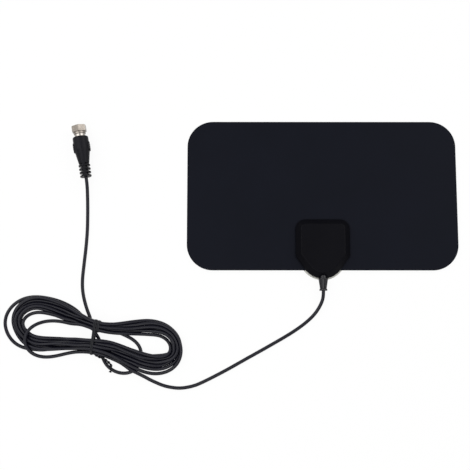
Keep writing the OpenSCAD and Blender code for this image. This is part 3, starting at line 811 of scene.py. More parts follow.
@dataclass
class Lead:
    """The thin coaxial lead, from the housing through its tied hank to the plug, as one free cord.

    The hank's turns are worked out by a loop between the bundle's two edges, then let down onto the
    surface and onto each other.
    """

    radius: float = LEAD_R
    # Distance between lengths that touch, whose soft jackets press in by under a tenth of a mm
    touch: float = 2.72
    node_step: float = 3.6
    fine_step: float = 1.7
    bevel_resolution: int = 8
    full_turns: int = 7
    # Stations that the last turn passes before it leaves the bundle
    last_stations: int = 14
    # Height that each turn takes before the lead settles
    laid_pitch: float = 2.9
    exit_point: Point = (0.0, NOSE_Y, AXIS_Z)
    housing_side: tuple[Point, ...] = (
        (0, -54, AXIS_Z), exit_point, (0, -75.8, AXIS_Z), (-1, -83, 3.2), (-6, -92, 1.8),
        (-14, -100, 1.4), (-26, -108.5, 1.4), (-44, -119, 1.4), (-62, -129, 1.4), (-80, -139, 1.4),
        (-98, -148, 1.4), (-107, -151, 1.4), (-116, -152, 1.4), (-126, -150.5, 1.4),
        (-134, -147.5, 1.6), (-142, -143.5, 3),
    )
    joining: tuple[Point, ...] = ((-151.7, -137.1, 4.6), (-159.8, -132.1, 7), (-167.8, -127.7, 12))
    leaving: tuple[Point, ...] = (
        (-167, -106.5, 1.4), (-159, -110, 1.4), (-151.5, -114.2, 1.4), (-147, -120.6, 1.4),
        (-146.4, -128.5, 1.4), (-148.8, -135.1, 1.4), (-154, -139, 1.4), (-162.5, -140, 1.4),
        (-170.5, -136.5, 1.4), (-175, -131, 1.4), (-177, -125, 1.4), (-178.6, -118.5, 1.4),
        (-180.2, -111.5, 1.4), (-182.6, -104.5, 1.4),
    )
    plug_side: tuple[Point, ...] = (
        (-187.2, -96, 1.4), (-191, -86, 1.4), (-193.4, -76, 1.4), (-194, -66, 1.4),
        (-193, -53, 1.4), (-191.8, -40, 1.4), (-191, -26, 1.4), (-191, -12, 1.4), (-191.2, 0, 2.4),
        (-191.4, 10, 5), (-192.26, 17.78, 6.4), (-194.73, 32.68, 6.4), (-197.01, 46.49, 6.4),
    )
    outer_edge: tuple[Pair, ...] = (
        (-183.8, -122.8), (-201.0, -122.1), (-218.2, -123.0), (-230.1, -122.6), (-239.6, -117.7),
        (-246.7, -109.0), (-250.2, -99.4), (-247.4, -89.3), (-239.7, -81.6), (-228.8, -78.4),
        (-215.6, -81.9), (-201.8, -88.3), (-189.6, -95.2), (-179.0, -99.6), (-165.6, -100.0),
        (-152.3, -98.3), (-139.0, -97.3), (-125.8, -101.0), (-116.4, -109.8), (-113.3, -120.8),
        (-114.9, -129.6), (-122.4, -136.0), (-135.5, -138.0), (-151.8, -134.4), (-165.1, -128.9),
        (-174.4, -125.5),
    )
    inner_edge: tuple[Pair, ...] = (
        (-184.0, -113.2), (-201.2, -112.2), (-218.6, -111.4), (-227.7, -110.6), (-233.8, -108.1),
        (-238.9, -103.6), (-241.6, -99.2), (-240.5, -94.9), (-235.3, -91.3), (-227.9, -90.2),
        (-211.1, -95.2), (-200.3, -100.5), (-192.2, -103.8), (-178.8, -108.1), (-165.4, -110.4),
        (-152.1, -110.9), (-138.8, -110.6), (-129.2, -110.1), (-122.6, -114.6), (-121.0, -120.8),
        (-123.5, -123.0), (-130.6, -125.6), (-139.4, -125.2), (-152.0, -121.1), (-165.3, -116.3),
        (-174.7, -114.0),
    )
    # Share of the bundle's width, from its inner to its outer edge, of each turn at the lower
    # waist, the left lobe, the upper waist and the right lobe; share_marks are their stations
    shares: tuple[tuple[float, float, float, float], ...] = (
        (1.0, 0.0, 0.1, 0.02), (0.05, 0.12, 0.3, 0.3), (0.3, 0.28, 0.5, 0.52),
        (0.5, 0.55, 0.66, 0.98), (0.98, 1.0, 0.9, 0.86), (0.85, 0.78, 0.98, 0.7),
        (0.68, 0.0, 0.75, 0.16), (0.2, 1.0, 0.4, 0.0),
    )
    share_marks: tuple[int, ...] = (0, 6, 10, 13, 19, 26)
    # Turns that leave the bundle for a stretch, as the number of a station and its x and y
    inner_loop: tuple[tuple[int, Pair], ...] = (
        (0, (-184.0, -121.7)), (1, (-198.4, -123.1)), (2, (-212.2, -126.5)), (3, (-222.6, -127.6)),
        (4, (-231.6, -125.2)), (5, (-237.0, -118.7)), (6, (-237.7, -111.2)), (7, (-234.0, -104.9)),
        (8, (-226.9, -100.4)), (9, (-218.1, -98.9)), (10, (-207.0, -99.9)), (11, (-197.9, -101.5)),
    )
    outer_loop: tuple[tuple[int, Pair], ...] = (
        (2, (-219.0, -121.2)), (3, (-232.0, -121.4)), (4, (-244.6, -118.3)), (5, (-251.8, -110.6)),
        (6, (-255.6, -99.4)), (7, (-251.5, -89.2)), (8, (-244.1, -82.8)), (9, (-233.4, -79.9)),
    )
    low_loop: tuple[tuple[int, Pair], ...] = (
        (19, (-114.6, -121.4)), (20, (-117.3, -131.3)), (21, (-123.4, -138.3)),
        (22, (-134.7, -140.8)), (23, (-147.2, -137.8)), (24, (-160.6, -130.7)),
    )
    left_strand: tuple[tuple[int, Pair], ...] = (
        (5, (-240.1, -104.0)), (6, (-242.3, -99.2)), (7, (-239.1, -95.7)), (8, (-234.2, -92.7)),
        (9, (-226.4, -91.6)), (10, (-215.5, -94.0)), (11, (-205.8, -97.9)),
    )
    right_strand: tuple[tuple[int, Pair], ...] = (
        (16, (-138.8, -109.8)), (17, (-130.3, -111.0)), (18, (-123.4, -115.0)),
        (19, (-120.8, -121.2)), (20, (-123.8, -125.2)),
    )
    # Where the tie runs under the lead, how far it lifts it, and over what reach along and across
    tie_at: Pair = TIE_AT
    tie_turn: float = TIE_TURN
    tie_lift: float = 1.1
    tie_reach: float = 5.0
    tie_span: float = 15.0
    # Rounds in all, those before the fall slows, those at the end without a fall, and those between
    # two searches for lengths that are near
    rounds: int = 520
    fast_rounds: int = 300
    last_rounds: int = 90
    search_rounds: int = 8
    # Lengths fewer chords apart than this are neighbours; others are near within this margin
    neighbours: int = 5
    margin: float = 2.5
    fall: float = 0.11
    slow_fall: float = 0.03
    # How strongly the lead is drawn back to where it was laid, straightened, and kept between the
    # bundle's edges, in the rounds with a fall and in the last ones
    pull: Pair = (0.03, 0.004)
    stiffness: Pair = (0.25, 0.12)
    hold: Pair = (0.7, 0.1)
    relax: float = 1.2

    def station(self, turn: int, number: int) -> tuple[float, ...]:
        """Gives where one turn passes one station, and how far it may be pushed aside.

        Args:
            turn: The turn's number, from 0.
            number: The station's number, from 0 at the lower waist.

        Returns:
            Its x and y, then the x and y of its innermost and of its outermost place.
        """
        loose = (
            (0, self.inner_loop),
            (0, self.right_strand),
            (1, self.left_strand),
            (3, self.low_loop),
            (self.full_turns, self.outer_loop),
        )
        for which, path in loose:
            if turn == which and number in dict(path):
                return dict(path)[number] * 3
        waist, lobe, *others = self.shares[turn]
        ahead = self.shares[turn + 1][0] if turn + 1 < len(self.shares) else others[-1]
        shares = (waist, lobe, lobe, *others, ahead)
        share = float(np.interp(number, self.share_marks, shares))
        inner, outer = np.array(self.inner_edge[number]), np.array(self.outer_edge[number])
        side = (outer - inner) * self.radius / np.linalg.norm(outer - inner)
        low, high = inner + side, outer - side
        return (*(low + share * (high - low)), *low, *high)

    def laid(self) -> tuple[np.ndarray, np.ndarray, np.ndarray]:
        """Lays the whole lead, its turns still one above the other.

        Returns:
            The evenly spaced points of its centreline, how freely each may move, from 0 to 1, and
            the innermost and outermost x and y of each.
        """
        stations = len(self.outer_edge)
        last = self.full_turns * stations + self.last_stations
        hank = []
        for count in range(last):
            x, y, *limits = self.station(*divmod(count, stations))
            high = self.radius + self.laid_pitch * (1 - count / last) * (self.full_turns + 0.5)
            hank.append((x, y, high, 1.0, *limits))
        fixed, before, after, ends = (
            [(x, y, z, free, x, y, x, y) for x, y, z in route]
            for route, free in (
                (self.housing_side, 0.0),
                (self.joining, 1.0),
                (self.leaving, 1.0),
                (self.plug_side, 0.0),
            )
        )
        line = smooth_line(np.array([*fixed, *before, *hank, *after, *ends], float), 8)
        line = spaced(line, self.node_step)
        return line[:, :3], np.clip(line[:, 3] * 1.2 - 0.1, 0, 1), line[:, 4:]

    def floor_at(self, points: np.ndarray) -> np.ndarray:
        """Gives how low the centreline may lie, which is higher over the tie.

        Args:
            points: The centreline's points.

        Returns:
            The least height of each point.
        """
        turn = math.radians(self.tie_turn)
        x, y = points[:, 0] - self.tie_at[0], points[:, 1] - self.tie_at[1]
        away = x * math.cos(turn) + y * math.sin(turn)
        over = np.exp(-((away / self.tie_reach) ** 2)) * (np.abs(y) < self.tie_span)
        return self.radius + self.tie_lift * over

    def contacts(self, line: np.ndarray, pairs: np.ndarray) -> np.ndarray:
        """Works out how the line's points move so that crossing lengths only touch.

        Args:
            line: The centreline's points.
            pairs: Numbers of the lengths that may touch, two a row.

        Returns:
            The move of each point.
        """
        i, j = pairs[:, 0], pairs[:, 1]
        one, two, gap = line[i + 1] - line[i], line[j + 1] - line[j], line[i] - line[j]
        a, e = (one * one).sum(1), (two * two).sum(1)
        b, c, f = (one * two).sum(1), (one * gap).sum(1), (two * gap).sum(1)
        s = np.clip((b * f - c * e) / np.maximum(a * e - b * b, NO_AREA), 0, 1)
        t = np.clip((b * s + f) / e, 0, 1)
        s = np.clip((b * t - c) / a, 0, 1)
        apart = gap + s[:, None] * one - t[:, None] * two
        far = np.linalg.norm(apart, axis=1)
        short = np.maximum(self.touch - far, 0)[:, None]
        push = short * apart / np.maximum(far, NO_LENGTH)[:, None] / 2
        move, count = np.zeros_like(line), np.full(len(line), NO_AREA)
        touching = push.any(axis=1)
        for ends, share, sign in ((i, 1 - s, 1), (i + 1, s, 1), (j, 1 - t, -1), (j + 1, t, -1)):
            np.add.at(move, ends[touching], (sign * share[:, None] * push)[touching])
            np.add.at(count, ends[touching], share[touching])
        return self.relax * move / np.maximum(count, 1.0)[:, None]

    def settle(self, line: np.ndarray, free: np.ndarray, limits: np.ndarray) -> np.ndarray:
        """Lets the laid lead sink until it rests on the surface and on itself.

        Args:
            line: The laid centreline's points.
            free: How freely each may move.
            limits: The innermost and outermost x and y of each.

        Returns:
            The settled centreline's points.
        """
        aim, loose = line[:, :2].copy(), free[:, None]
        low, span = limits[:, :2], limits[:, 2:] - limits[:, :2]
        width = np.maximum((span * span).sum(1), NO_AREA)
        near_by = self.node_step + 2 * self.radius + self.margin
        near = np.zeros((0, 2), int)
        for step in range(self.rounds):
            if step % self.search_rounds == 0:
                middle = (line[:-1] + line[1:]) / 2
                close = np.linalg.norm(middle[:, None] - middle[None], axis=2) < near_by
                near = np.column_stack(np.nonzero(np.triu(close, self.neighbours)))
            last = step >= self.rounds - self.last_rounds
            fall = self.fall if step < self.fast_rounds else 0.0 if last else self.slow_fall
            line[:, 2:] -= loose * fall
            line[:, :2] += loose * self.pull[last] * (aim - line[:, :2])
            bend = np.zeros_like(line)
            bend[1:-1] = (line[:-2] + line[2:]) / 2 - line[1:-1]
            stiff = np.zeros_like(line)
            stiff[1:-1] = (bend[:-2] + bend[2:]) / 2 - bend[1:-1]
            line -= loose * self.stiffness[last] * stiff
            for _ in range(2):
                line += loose * self.contacts(line, near)
                share = ((line[:, :2] - low) * span).sum(1) / width
                back = (np.clip(share, 0, 1) - share)[:, None]
                line[:, :2] += loose * back * span * self.hold[last]
                lifted = np.maximum(line[:, 2], self.floor_at(line))
                line[:, 2] = np.where(free > 0, lifted, line[:, 2])
        return line

    def build(self) -> tuple[bpy.types.Object, np.ndarray, float]:
        """Makes the lead.

        Returns:
            The lead, its settled centreline in millimetres, and its length in metres.
        """
        line = self.settle(*self.laid())
        fine = spaced(smooth_line(line, 4), self.fine_step)
        fine[:, 2] = np.maximum(fine[:, 2], self.radius)
        data = bpy.data.curves.new("coaxial_lead", "CURVE")
        data.dimensions = "3D"
        data.bevel_depth = self.radius * MM
        data.bevel_resolution = self.bevel_resolution
        data.use_fill_caps = True
        spline = data.splines.new("POLY")
        spline.points.add(len(fine) - 1)
        flat = np.column_stack([fine * MM, np.ones(len(fine))]).ravel()
        spline.points.foreach_set("co", flat)
        spline.use_smooth = True
        data.materials.append(JACKET.material())
        made = bpy.data.objects.new("coaxial_lead", data)
        bpy.context.scene.collection.objects.link(made)
        long = float(np.linalg.norm(np.diff(fine, axis=0), axis=1).sum()) * MM
        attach(made, "antenna")
        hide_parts("cord_pod_side", "cord_hank", "cord_loop", "cord_plug_side")
        return made, line, long


@dataclass
class Sheet:
    """The laminate: two cover films with the foil elements and the adhesive between them."""

    finishes: dict[str, Finish] = field(
        default_factory=lambda: {
            "front_film": FRONT_FILM,
            "back_film": BACK_FILM,
            "bond_layer": ADHESIVE,
            "foil_left": FOIL,
            "foil_right": FOIL,
        }
    )

    def build(self) -> None:
        """Dresses the layers, whose solids keep their shape."""
        dress(self.finishes)


@dataclass
class Circuit:
    """The board inside the housing, with its balun, chips, contacts and the lead's stripped end."""

    finishes: dict[str, Finish] = field(
        default_factory=lambda: {
            "circuit_board": BOARD,
            "balun_core": FERRITE,
            "balun_winding": COPPER,
            "chip_capacitors": CERAMIC,
            "contact_left": TINNED,
            "contact_right": TINNED,
            "coax_clamp": TINNED,
            "lead_braid": BRAID,
            "lead_dielectric": POLYETHYLENE,
            "lead_core": COPPER,
        }
    )

    def build(self) -> None:
        """Dresses the circuit's solids, which keep their shape."""
        dress(self.finishes)


def dress(finishes: dict[str, Finish]) -> None:
    """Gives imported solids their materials.

    Args:
        finishes: The finish of each node, by name.
    """
    for name, finish in finishes.items():
        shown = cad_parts[name]
        if not shown.material_slots:
            shown.data.materials.append(None)
        for slot in shown.material_slots:
            slot.material = finish.material()
        LOG.info("%s: %s", name, finish.name)


def report(shown: bpy.types.Object) -> None:
    """Logs a piece's name and the number of its faces."""
    LOG.info("%s: %d faces", shown.name, len(shown.data.polygons))


def block(name: str, low: Point, high: Point, finish: Finish) -> bpy.types.Object:
    """Makes a square-edged block, used as a cutter or before its edges are rounded.

    Args:
        name: The object's name.
        low: Its lowest corner.
        high: Its highest corner.
        finish: What it is made of.

    Returns:
        The block.
    """
    (x0, y0, z0), (x1, y1, z1) = low, high
    ring = [(x0, y0), (x1, y0), (x1, y1), (x0, y1)]
    return piece(name, *loft([[(x, y, z) for x, y in ring] for z in (z0, z1)]), finish)


def placed(made: bpy.types.Object, where: Matrix) -> bpy.types.Object:
    """Moves a piece's mesh, and leaves its object at the origin.

    Args:
        made: The piece.
        where: The turn and the place, in millimetres.

    Returns:
        The same piece.
    """
    scaled = where.copy()
    scaled.translation = where.translation * MM
    made.data.transform(scaled)
    return made


def rod(
    name: str, y0: float, y1: float, radius: float, z: float, finish: Finish
) -> bpy.types.Object:
    """Makes a round bar along Y.

    Args:
        name: The object's name.
        y0: Where it starts.
        y1: Where it ends.
        radius: Its radius.
        z: Its axis's height.
        finish: What it is made of.

    Returns:
        The bar.
    """
    made = piece(name, *revolve([(radius, 0), (radius, y1 - y0)], 48), finish)
    return placed(made, Matrix.Translation((0, y1, z)) @ LAID_DOWN)


@dataclass
class Housing:
    """The housing clipped through the sheet: a bevelled black front and a white back."""

    width: float = 44.0
    length: float = 48.0
    nose_y: float = NOSE_Y
    top_r: float = 8.0
    shoulder_r: float = 5.0
    shoulder_y: float = 19.3
    nose_r: float = 17.8
    least_r: float = 0.8
    back_h: float = 2.2
    rim: float = 1.2
    chamfer: float = 0.7
    floor_t: float = 1.2
    top_z: float = 9.4
    wall: float = 1.6
    roof_t: float = 1.4
    edge_z: float = 4.67
    bevel: float = 4.47
    sheet_y: float = -58.3
    sheet_top: float = 2.9
    axis_z: float = AXIS_Z
    collar_y: float = -60.2
    jacket_y: float = -54.0
    cord_hole_r: float = LEAD_HOLE_R
    neck_hole_r: float = 2.7
    mouth_r: float = 3.6
    posts: tuple[Pair, ...] = ((-13.3, -26.4), (13.3, -26.4), (-9.2, -52.6), (9.2, -52.6))
    post_r: float = 1.8
    edge_round: float = 1.3
    foot_round: float = 0.35
    tray_round: float = 0.4
    # Height from which the front's wall is upright
    front_z: float = 2.4
    # Steps in of the outlines that end the shells' lofts: the front's foot and roof, and the back's
    # underside, counted from its edge, its lip and its hollow
    front_foot: float = 0.2
    roof_in: float = 6.2
    back_foot: float = 1.2
    back_lip: float = 0.6
    tray_in: float = 3.0
    # Half the width of the slot that lets the sheet in
    slot_half: float = 40.0
    # Radius and height along the pin below each post, up to the sheet's top
    pin: tuple[Pair, ...] = ((1.1, 0.9), (1.3, 1.1), (1.3, 2.9))
    pin_hole: tuple[Pair, ...] = ((1.35, 0.9), (1.35, 4))
    boss_r: float = 2.65
    saddle_half: float = 6.0
    saddle_t: float = 1.2
    # Where the two saddles start, on both sides of the strain relief's collar
    saddles: Pair = (-1.2, 1.8)
    round_sides: int = 32
    # Chords in the outline's corners, shoulders and nose
    corner_steps: int = 14
    shoulder_steps: int = 9
    nose_steps: int = 44
    sharp: float = 28.0

    def outline(self, step_in: float, z: float) -> list[Point]:
        """Gives the housing's outline at one height.

        Args:
            step_in: How far it is stepped in from the widest outline.
            z: The height.

        Returns:
            The outline's points, anticlockwise.
        """
        half = self.width / 2
        x, dy = half - self.shoulder_r, self.shoulder_y - self.nose_r
        lean = math.acos((self.nose_r - self.shoulder_r) / math.hypot(x, dy))
        turn = math.pi - math.atan2(dy, x) + lean
        r = max(self.shoulder_r - step_in, self.least_r)
        back = self.shoulder_r - step_in - r
        y = self.nose_y + self.shoulder_y + back / math.tan(turn / 2)
        x += back
        top_x, top_y = half - self.top_r, self.nose_y + self.length - self.top_r
        top_r, nose_r = self.top_r - step_in, self.nose_r - step_in
        corner, shoulder = self.corner_steps, self.shoulder_steps
        arcs = (
            (top_x, top_y, top_r, 0, math.pi / 2, corner),
            (-top_x, top_y, top_r, math.pi / 2, math.pi, corner),
            (-x, y, r, math.pi, turn, shoulder),
            (0, self.nose_y + self.nose_r, nose_r, turn, 3 * math.pi - turn, self.nose_steps),
            (x, y, r, 3 * math.pi - turn, TAU, shoulder),
        )
        points = []
        for cx, cy, radius, first, last, count in arcs:
            for i in range(count + 1):
                a = first + (last - first) * i / count
                points.append((cx + radius * math.cos(a), cy + radius * math.sin(a), z))
        return points

    def shell(self, name: str, section: Sequence[Pair], finish: Finish) -> bpy.types.Object:
        """Makes a solid through the outlines that a section gives as step in and height."""
        return piece(name, *loft([self.outline(step, z) for step, z in section]), finish)

    def round_bar(
        self, name: str, profile: Sequence[Pair], number: int, finish: Finish
    ) -> bpy.types.Object:
        """Makes an upright round solid at one of the posts, from its radii and heights."""
        made = piece(name, *revolve(profile, self.round_sides), finish)
        return placed(made, Matrix.Translation((*self.posts[number], 0)))

    def front(self) -> bpy.types.Object:
        """Makes the front shell: a bevelled dome, hollow, with saddles and posts.

        Returns:
            The shell.
        """
        top, thin = self.top_z, self.roof_t
        edge = [
            (self.front_foot, self.back_h),
            (0, self.front_z),
            (0, self.edge_z),
            (self.bevel, top),
            (self.roof_in, top),
        ]
        outside = rounded(edge, self.edge_round, 6)
        made = self.shell("front_shell", outside, BLACK_ABS)
        inside = [
            (self.wall, 1.0),
            (self.wall, self.edge_z - thin),
            (self.bevel + self.wall, top - thin),
        ]
        combine(made, self.shell("hollow", inside, BLACK_ABS), "DIFFERENCE")
        low, high = (-self.slot_half, self.sheet_y, 0), (self.slot_half, 0, self.sheet_top)
        combine(made, block("slot", low, high, BLACK_ABS), "DIFFERENCE")
        core = [(step + self.wall / 2, z - thin / 2) for step, z in outside[1:]]
        for shift in self.saddles:
            y, half = self.collar_y + shift, self.saddle_half
            ends = (-half, y, self.sheet_top), (half, y + self.saddle_t, top)
            saddle = block("saddle", *ends, BLACK_ABS)
            combine(saddle, self.shell("core", core, BLACK_ABS), "INTERSECT")
            combine(made, saddle, "UNION")
        for y0, y1, r in (
            (self.nose_y - 1, self.collar_y + 0.2, self.neck_hole_r),
            (self.collar_y - 0.1, self.jacket_y, self.cord_hole_r),
        ):
            combine(made, rod("bore", y0, y1, r, self.axis_z, BLACK_ABS), "DIFFERENCE")
        low = (-self.cord_hole_r, self.collar_y, 0)
        high = (self.cord_hole_r, self.jacket_y, self.axis_z)
        combine(made, block("way", low, high, BLACK_ABS), "DIFFERENCE")
        post = [*self.pin, (self.post_r, self.sheet_top), (self.post_r, top - thin / 2)]
        for number in range(len(self.posts)):
            combine(made, self.round_bar("post", post, number, BLACK_ABS), "UNION")
        return softened(made, sharp=self.sharp)

    def back(self) -> bpy.types.Object:
        """Makes the back shell: a shallow tray with four sockets, its rim out past the front.

        Returns:
            The shell.
        """
        foot, tray = self.chamfer - self.rim, self.floor_t
        edge = [
            (foot + self.back_foot, 0),
            (foot, 0),
            (-self.rim, self.chamfer),
            (-self.rim, self.back_h),
            (self.back_lip, self.back_h),
        ]
        made = self.shell("back_shell", rounded(edge, self.foot_round, 4), WHITE_ABS)
        inside = [(self.tray_in, tray), (self.wall, tray), (self.wall, self.back_h + 1)]
        hollow = self.shell("hollow", rounded(inside, self.tray_round, 3), WHITE_ABS)
        combine(made, hollow, "DIFFERENCE")
        boss = [(self.boss_r, tray - 0.1), (self.boss_r, self.back_h)]
        for number in range(len(self.posts)):
            combine(made, self.round_bar("boss", boss, number, WHITE_ABS), "UNION")
            hole = self.round_bar("hole", self.pin_hole, number, WHITE_ABS)
            combine(made, hole, "DIFFERENCE")
        for y0, y1, r in (
            (self.nose_y - 1, self.nose_y + 3.2, self.neck_hole_r),
            (self.nose_y - 2, self.nose_y, self.mouth_r),
        ):
            combine(made, rod("way", y0, y1, r, self.axis_z, WHITE_ABS), "DIFFERENCE")
        return softened(made, sharp=self.sharp)

    def build(self) -> None:
        """Makes both shells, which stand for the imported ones."""
        for made, node, slot in (
            (self.front(), "pod_front", "black_shell"),
            (self.back(), "pod_back", "white_shell"),
        ):
            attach(made, "antenna")
            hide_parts(node)
            report(made)


@dataclass
class StrainRelief:
    """The soft sleeve that keeps the lead from kinking where it leaves the housing."""

    nose_y: float = NOSE_Y
    axis_z: float = AXIS_Z
    bore_r: float = LEAD_HOLE_R
    neck_r: float = 2.6
    neck_len: float = 4.7
    root_r: float = 3.45
    tip_r: float = 2.1
    ring_z: float = 8.6
    ring_r: float = 3.2
    length: float = 10.0
    ribs: int = 8
    rib_t: float = 0.7
    rib_root_r: float = 3.95
    rib_tip_r: float = 2.65
    rib_ends: Pair = (0.5, 8.9)
    # Share of a rib's thickness that is left on its outside, at its foot and at its tip
    rib_tops: Pair = (0.8, 0.7)
    # Height of the root's flat band, and where the taper starts
    root_z: Pair = (0.7, 0.9)
    # How deep a rib's foot and tip sink into the core
    sinks: Pair = (0.5, 0.4)
    collar: tuple[Point, Point] = ((-4, -60.1, 2.5), (4, -58.5, 5.4))
    core_round: float = 0.3
    rib_round: float = 0.12
    collar_round: float = 0.2

    def ribs_round(self) -> bpy.types.Object:
        """Makes the lengthwise ribs, standing round Z.

        Returns:
            The ribs, as one piece.
        """
        feet = (self.root_r - self.sinks[0], self.tip_r - self.sinks[1])
        tops = (self.rib_root_r, self.rib_tip_r)
        half = self.rib_t / 2
        rings = [
            [(foot, -half, z), (top, -half * left, z), (top, half * left, z), (foot, half, z)]
            for foot, top, left, z in zip(feet, tops, self.rib_tops, self.rib_ends)
        ]
        rib = softened(piece("rib", *loft(rings), RELIEF_PVC), self.rib_round)
        turn = TAU / self.ribs
        placed(rib, Matrix.Rotation(turn / 2, 4, "Z"))
        return grown(rib, repeat_tree(RELIEF_PVC), Count=self.ribs, Turn=(0.0, 0.0, turn))

    def build(self) -> bpy.types.Object:
        """Makes the sleeve: a tapered ribbed core, an end ring, a neck and an inner collar.

        Returns:
            The sleeve.
        """
        (band_z, taper_z), bore = self.root_z, self.bore_r
        core = [
            (bore, -self.neck_len),
            (self.neck_r, -self.neck_len),
            (self.neck_r, 0.0),
            (self.rib_root_r, 0.0),
            (self.rib_root_r, band_z),
            (self.root_r, taper_z),
            (self.tip_r, self.ring_z),
            (self.ring_r, self.ring_z),
            (self.ring_r, self.length),
            (bore, self.length),
        ]
        solid = revolve(rounded(core, self.core_round, 3, closed=True), 64, closed=True)
        sleeve = softened(piece("strain_relief_sleeve", *solid, RELIEF_PVC))
        where = Matrix.Translation((0, self.nose_y, self.axis_z)) @ LAID_DOWN
        parts = [placed(sleeve, where), placed(self.ribs_round(), where)]
        collar = block("collar", *self.collar, RELIEF_PVC)
        y0, y1 = self.collar[0][1] - 1, self.collar[1][1] + 1
        combine(collar, rod("bore", y0, y1, bore, self.axis_z, RELIEF_PVC), "DIFFERENCE")
        parts.append(softened(collar, self.collar_round))
        made = joined("strain_relief_sleeve", parts)
        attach(made, "antenna")
        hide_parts("strain_relief")
        report(made)
        return made


@dataclass
class TwistTie:
    """The vinyl-covered wire tie: a wrap round both bundles, one round the upper, and a tail."""

    at: Pair = TIE_AT
    turn: float = TIE_TURN
    wraps: tuple[tuple[float, float], ...] = ((-0.9, -99.0), (1.7, 0.0))
    section: tuple[Pair, ...] = (
        (-1.1, 0.0), (-0.95, 0.16), (-0.4, 0.2), (0.0, 0.45), (0.4, 0.2), (0.95, 0.16), (1.1, 0.0),
        (0.95, -0.16), (0.0, -0.2), (-0.95, -0.16),
    )
    tail: tuple[Point, ...] = (
        (-183.6, -124.6, 2.6), (-180, -127, 3.6), (-173.5, -130, 4.0), (-169.4, -134, 4.1),
        (-169.4, -137.2, 3.6), (-170.2, -139.6, 2.6),
    )
    strand_r: float = 0.55
    twists: float = 4.0
    # Crossings farther than this from the tie's middle belong to other stretches of the lead
    reach: float = 16.0
    wrap_steps: int = 96
    # Space between the lead's surface and the ribbon's middle, and the ribbon's least height
    clearance: float = 0.3
    least_z: float = 0.1

    def axes(self) -> tuple[np.ndarray, np.ndarray]:
        """Gives the tie's directions, seen from above.

        Returns:
            The directions across its ribbon and along its span.
        """
        turn = math.radians(self.turn)
        x, y = math.cos(turn), math.sin(turn)
        return np.array([x, y]), np.array([-y, x])

    def crossings(self, line: np.ndarray, shift: float, lowest: float) -> np.ndarray:
        """Finds where the lead crosses one wrap's plane.

        Args:
            line: The lead's centreline.
            shift: The plane's distance from the tie's middle.
            lowest: Crossings below this place on the tie's span are left out.

        Returns:
            Each crossing's place on the span, and its height.
        """
        across, along = self.axes()
        flat = line[:, :2] - np.array(self.at)
        off, on = flat @ across - shift, flat @ along
        hits = np.nonzero((off[:-1] * off[1:] <= 0) & (np.abs(on[:-1]) < self.reach))[0]
        share = off[hits] / (off[hits] - off[hits + 1])
        spot = on[hits] + share * (on[hits + 1] - on[hits])
        high = line[hits, 2] + share * (line[hits + 1, 2] - line[hits, 2])
        kept = spot > lowest
        return np.column_stack([spot[kept], high[kept]])

    def wrap(self, line: np.ndarray, shift: float, lowest: float) -> bpy.types.Object:
        """Winds the ribbon once, tightly, round the lengths of lead that cross its plane.

        Args:
            line: The lead's centreline.
            shift: The plane's distance from the tie's middle.
            lowest: Crossings below this place on the tie's span are left out.

        Returns:
            The wrap.
        """
        across, along = self.axes()
        spots = self.crossings(line, shift, lowest)
        rings = []
        for a in np.linspace(0, TAU, self.wrap_steps, endpoint=False):
            out = np.array([math.cos(a), math.sin(a)])
            spot = spots[(spots @ out).argmax()] + out * (LEAD_R + self.clearance)
            ring = []
            for wide, thick in self.section:
                place = spot + out * thick
                flat = np.array(self.at) + across * (shift + wide) + along * place[0]
                ring.append((float(flat[0]), float(flat[1]), max(float(place[1]), self.least_z)))
            rings.append(ring)
        return piece("wrap", *loft(rings, closed=True), TIE_VINYL)

    def build(self, line: np.ndarray) -> bpy.types.Object:
        """Makes the tie round the settled lead.

        Args:
            line: The lead's centreline.

        Returns:
            The tie.
        """
        parts = [softened(self.wrap(line, shift, lowest)) for shift, lowest in self.wraps]
        route = smooth_line(np.array(self.tail, float), 8)
        mesh = bpy.data.meshes.new("tail")
        edges = [(i, i + 1) for i in range(len(route) - 1)]
        mesh.from_pydata([tuple(p * MM) for p in route], edges, [])
        mesh.materials.append(TIE_VINYL.material())
        tail = bpy.data.objects.new("tail", mesh)
        bpy.context.scene.collection.objects.link(tail)
        grown(tail, twist_tree(TIE_VINYL), Strand=self.strand_r * MM, Turns=self.twists)
        parts.append(softened(tail, sharp=50))
        made = joined("wire_tie", parts)
        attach(made, "antenna")
        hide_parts("twist_tie")
        report(made)
        return made


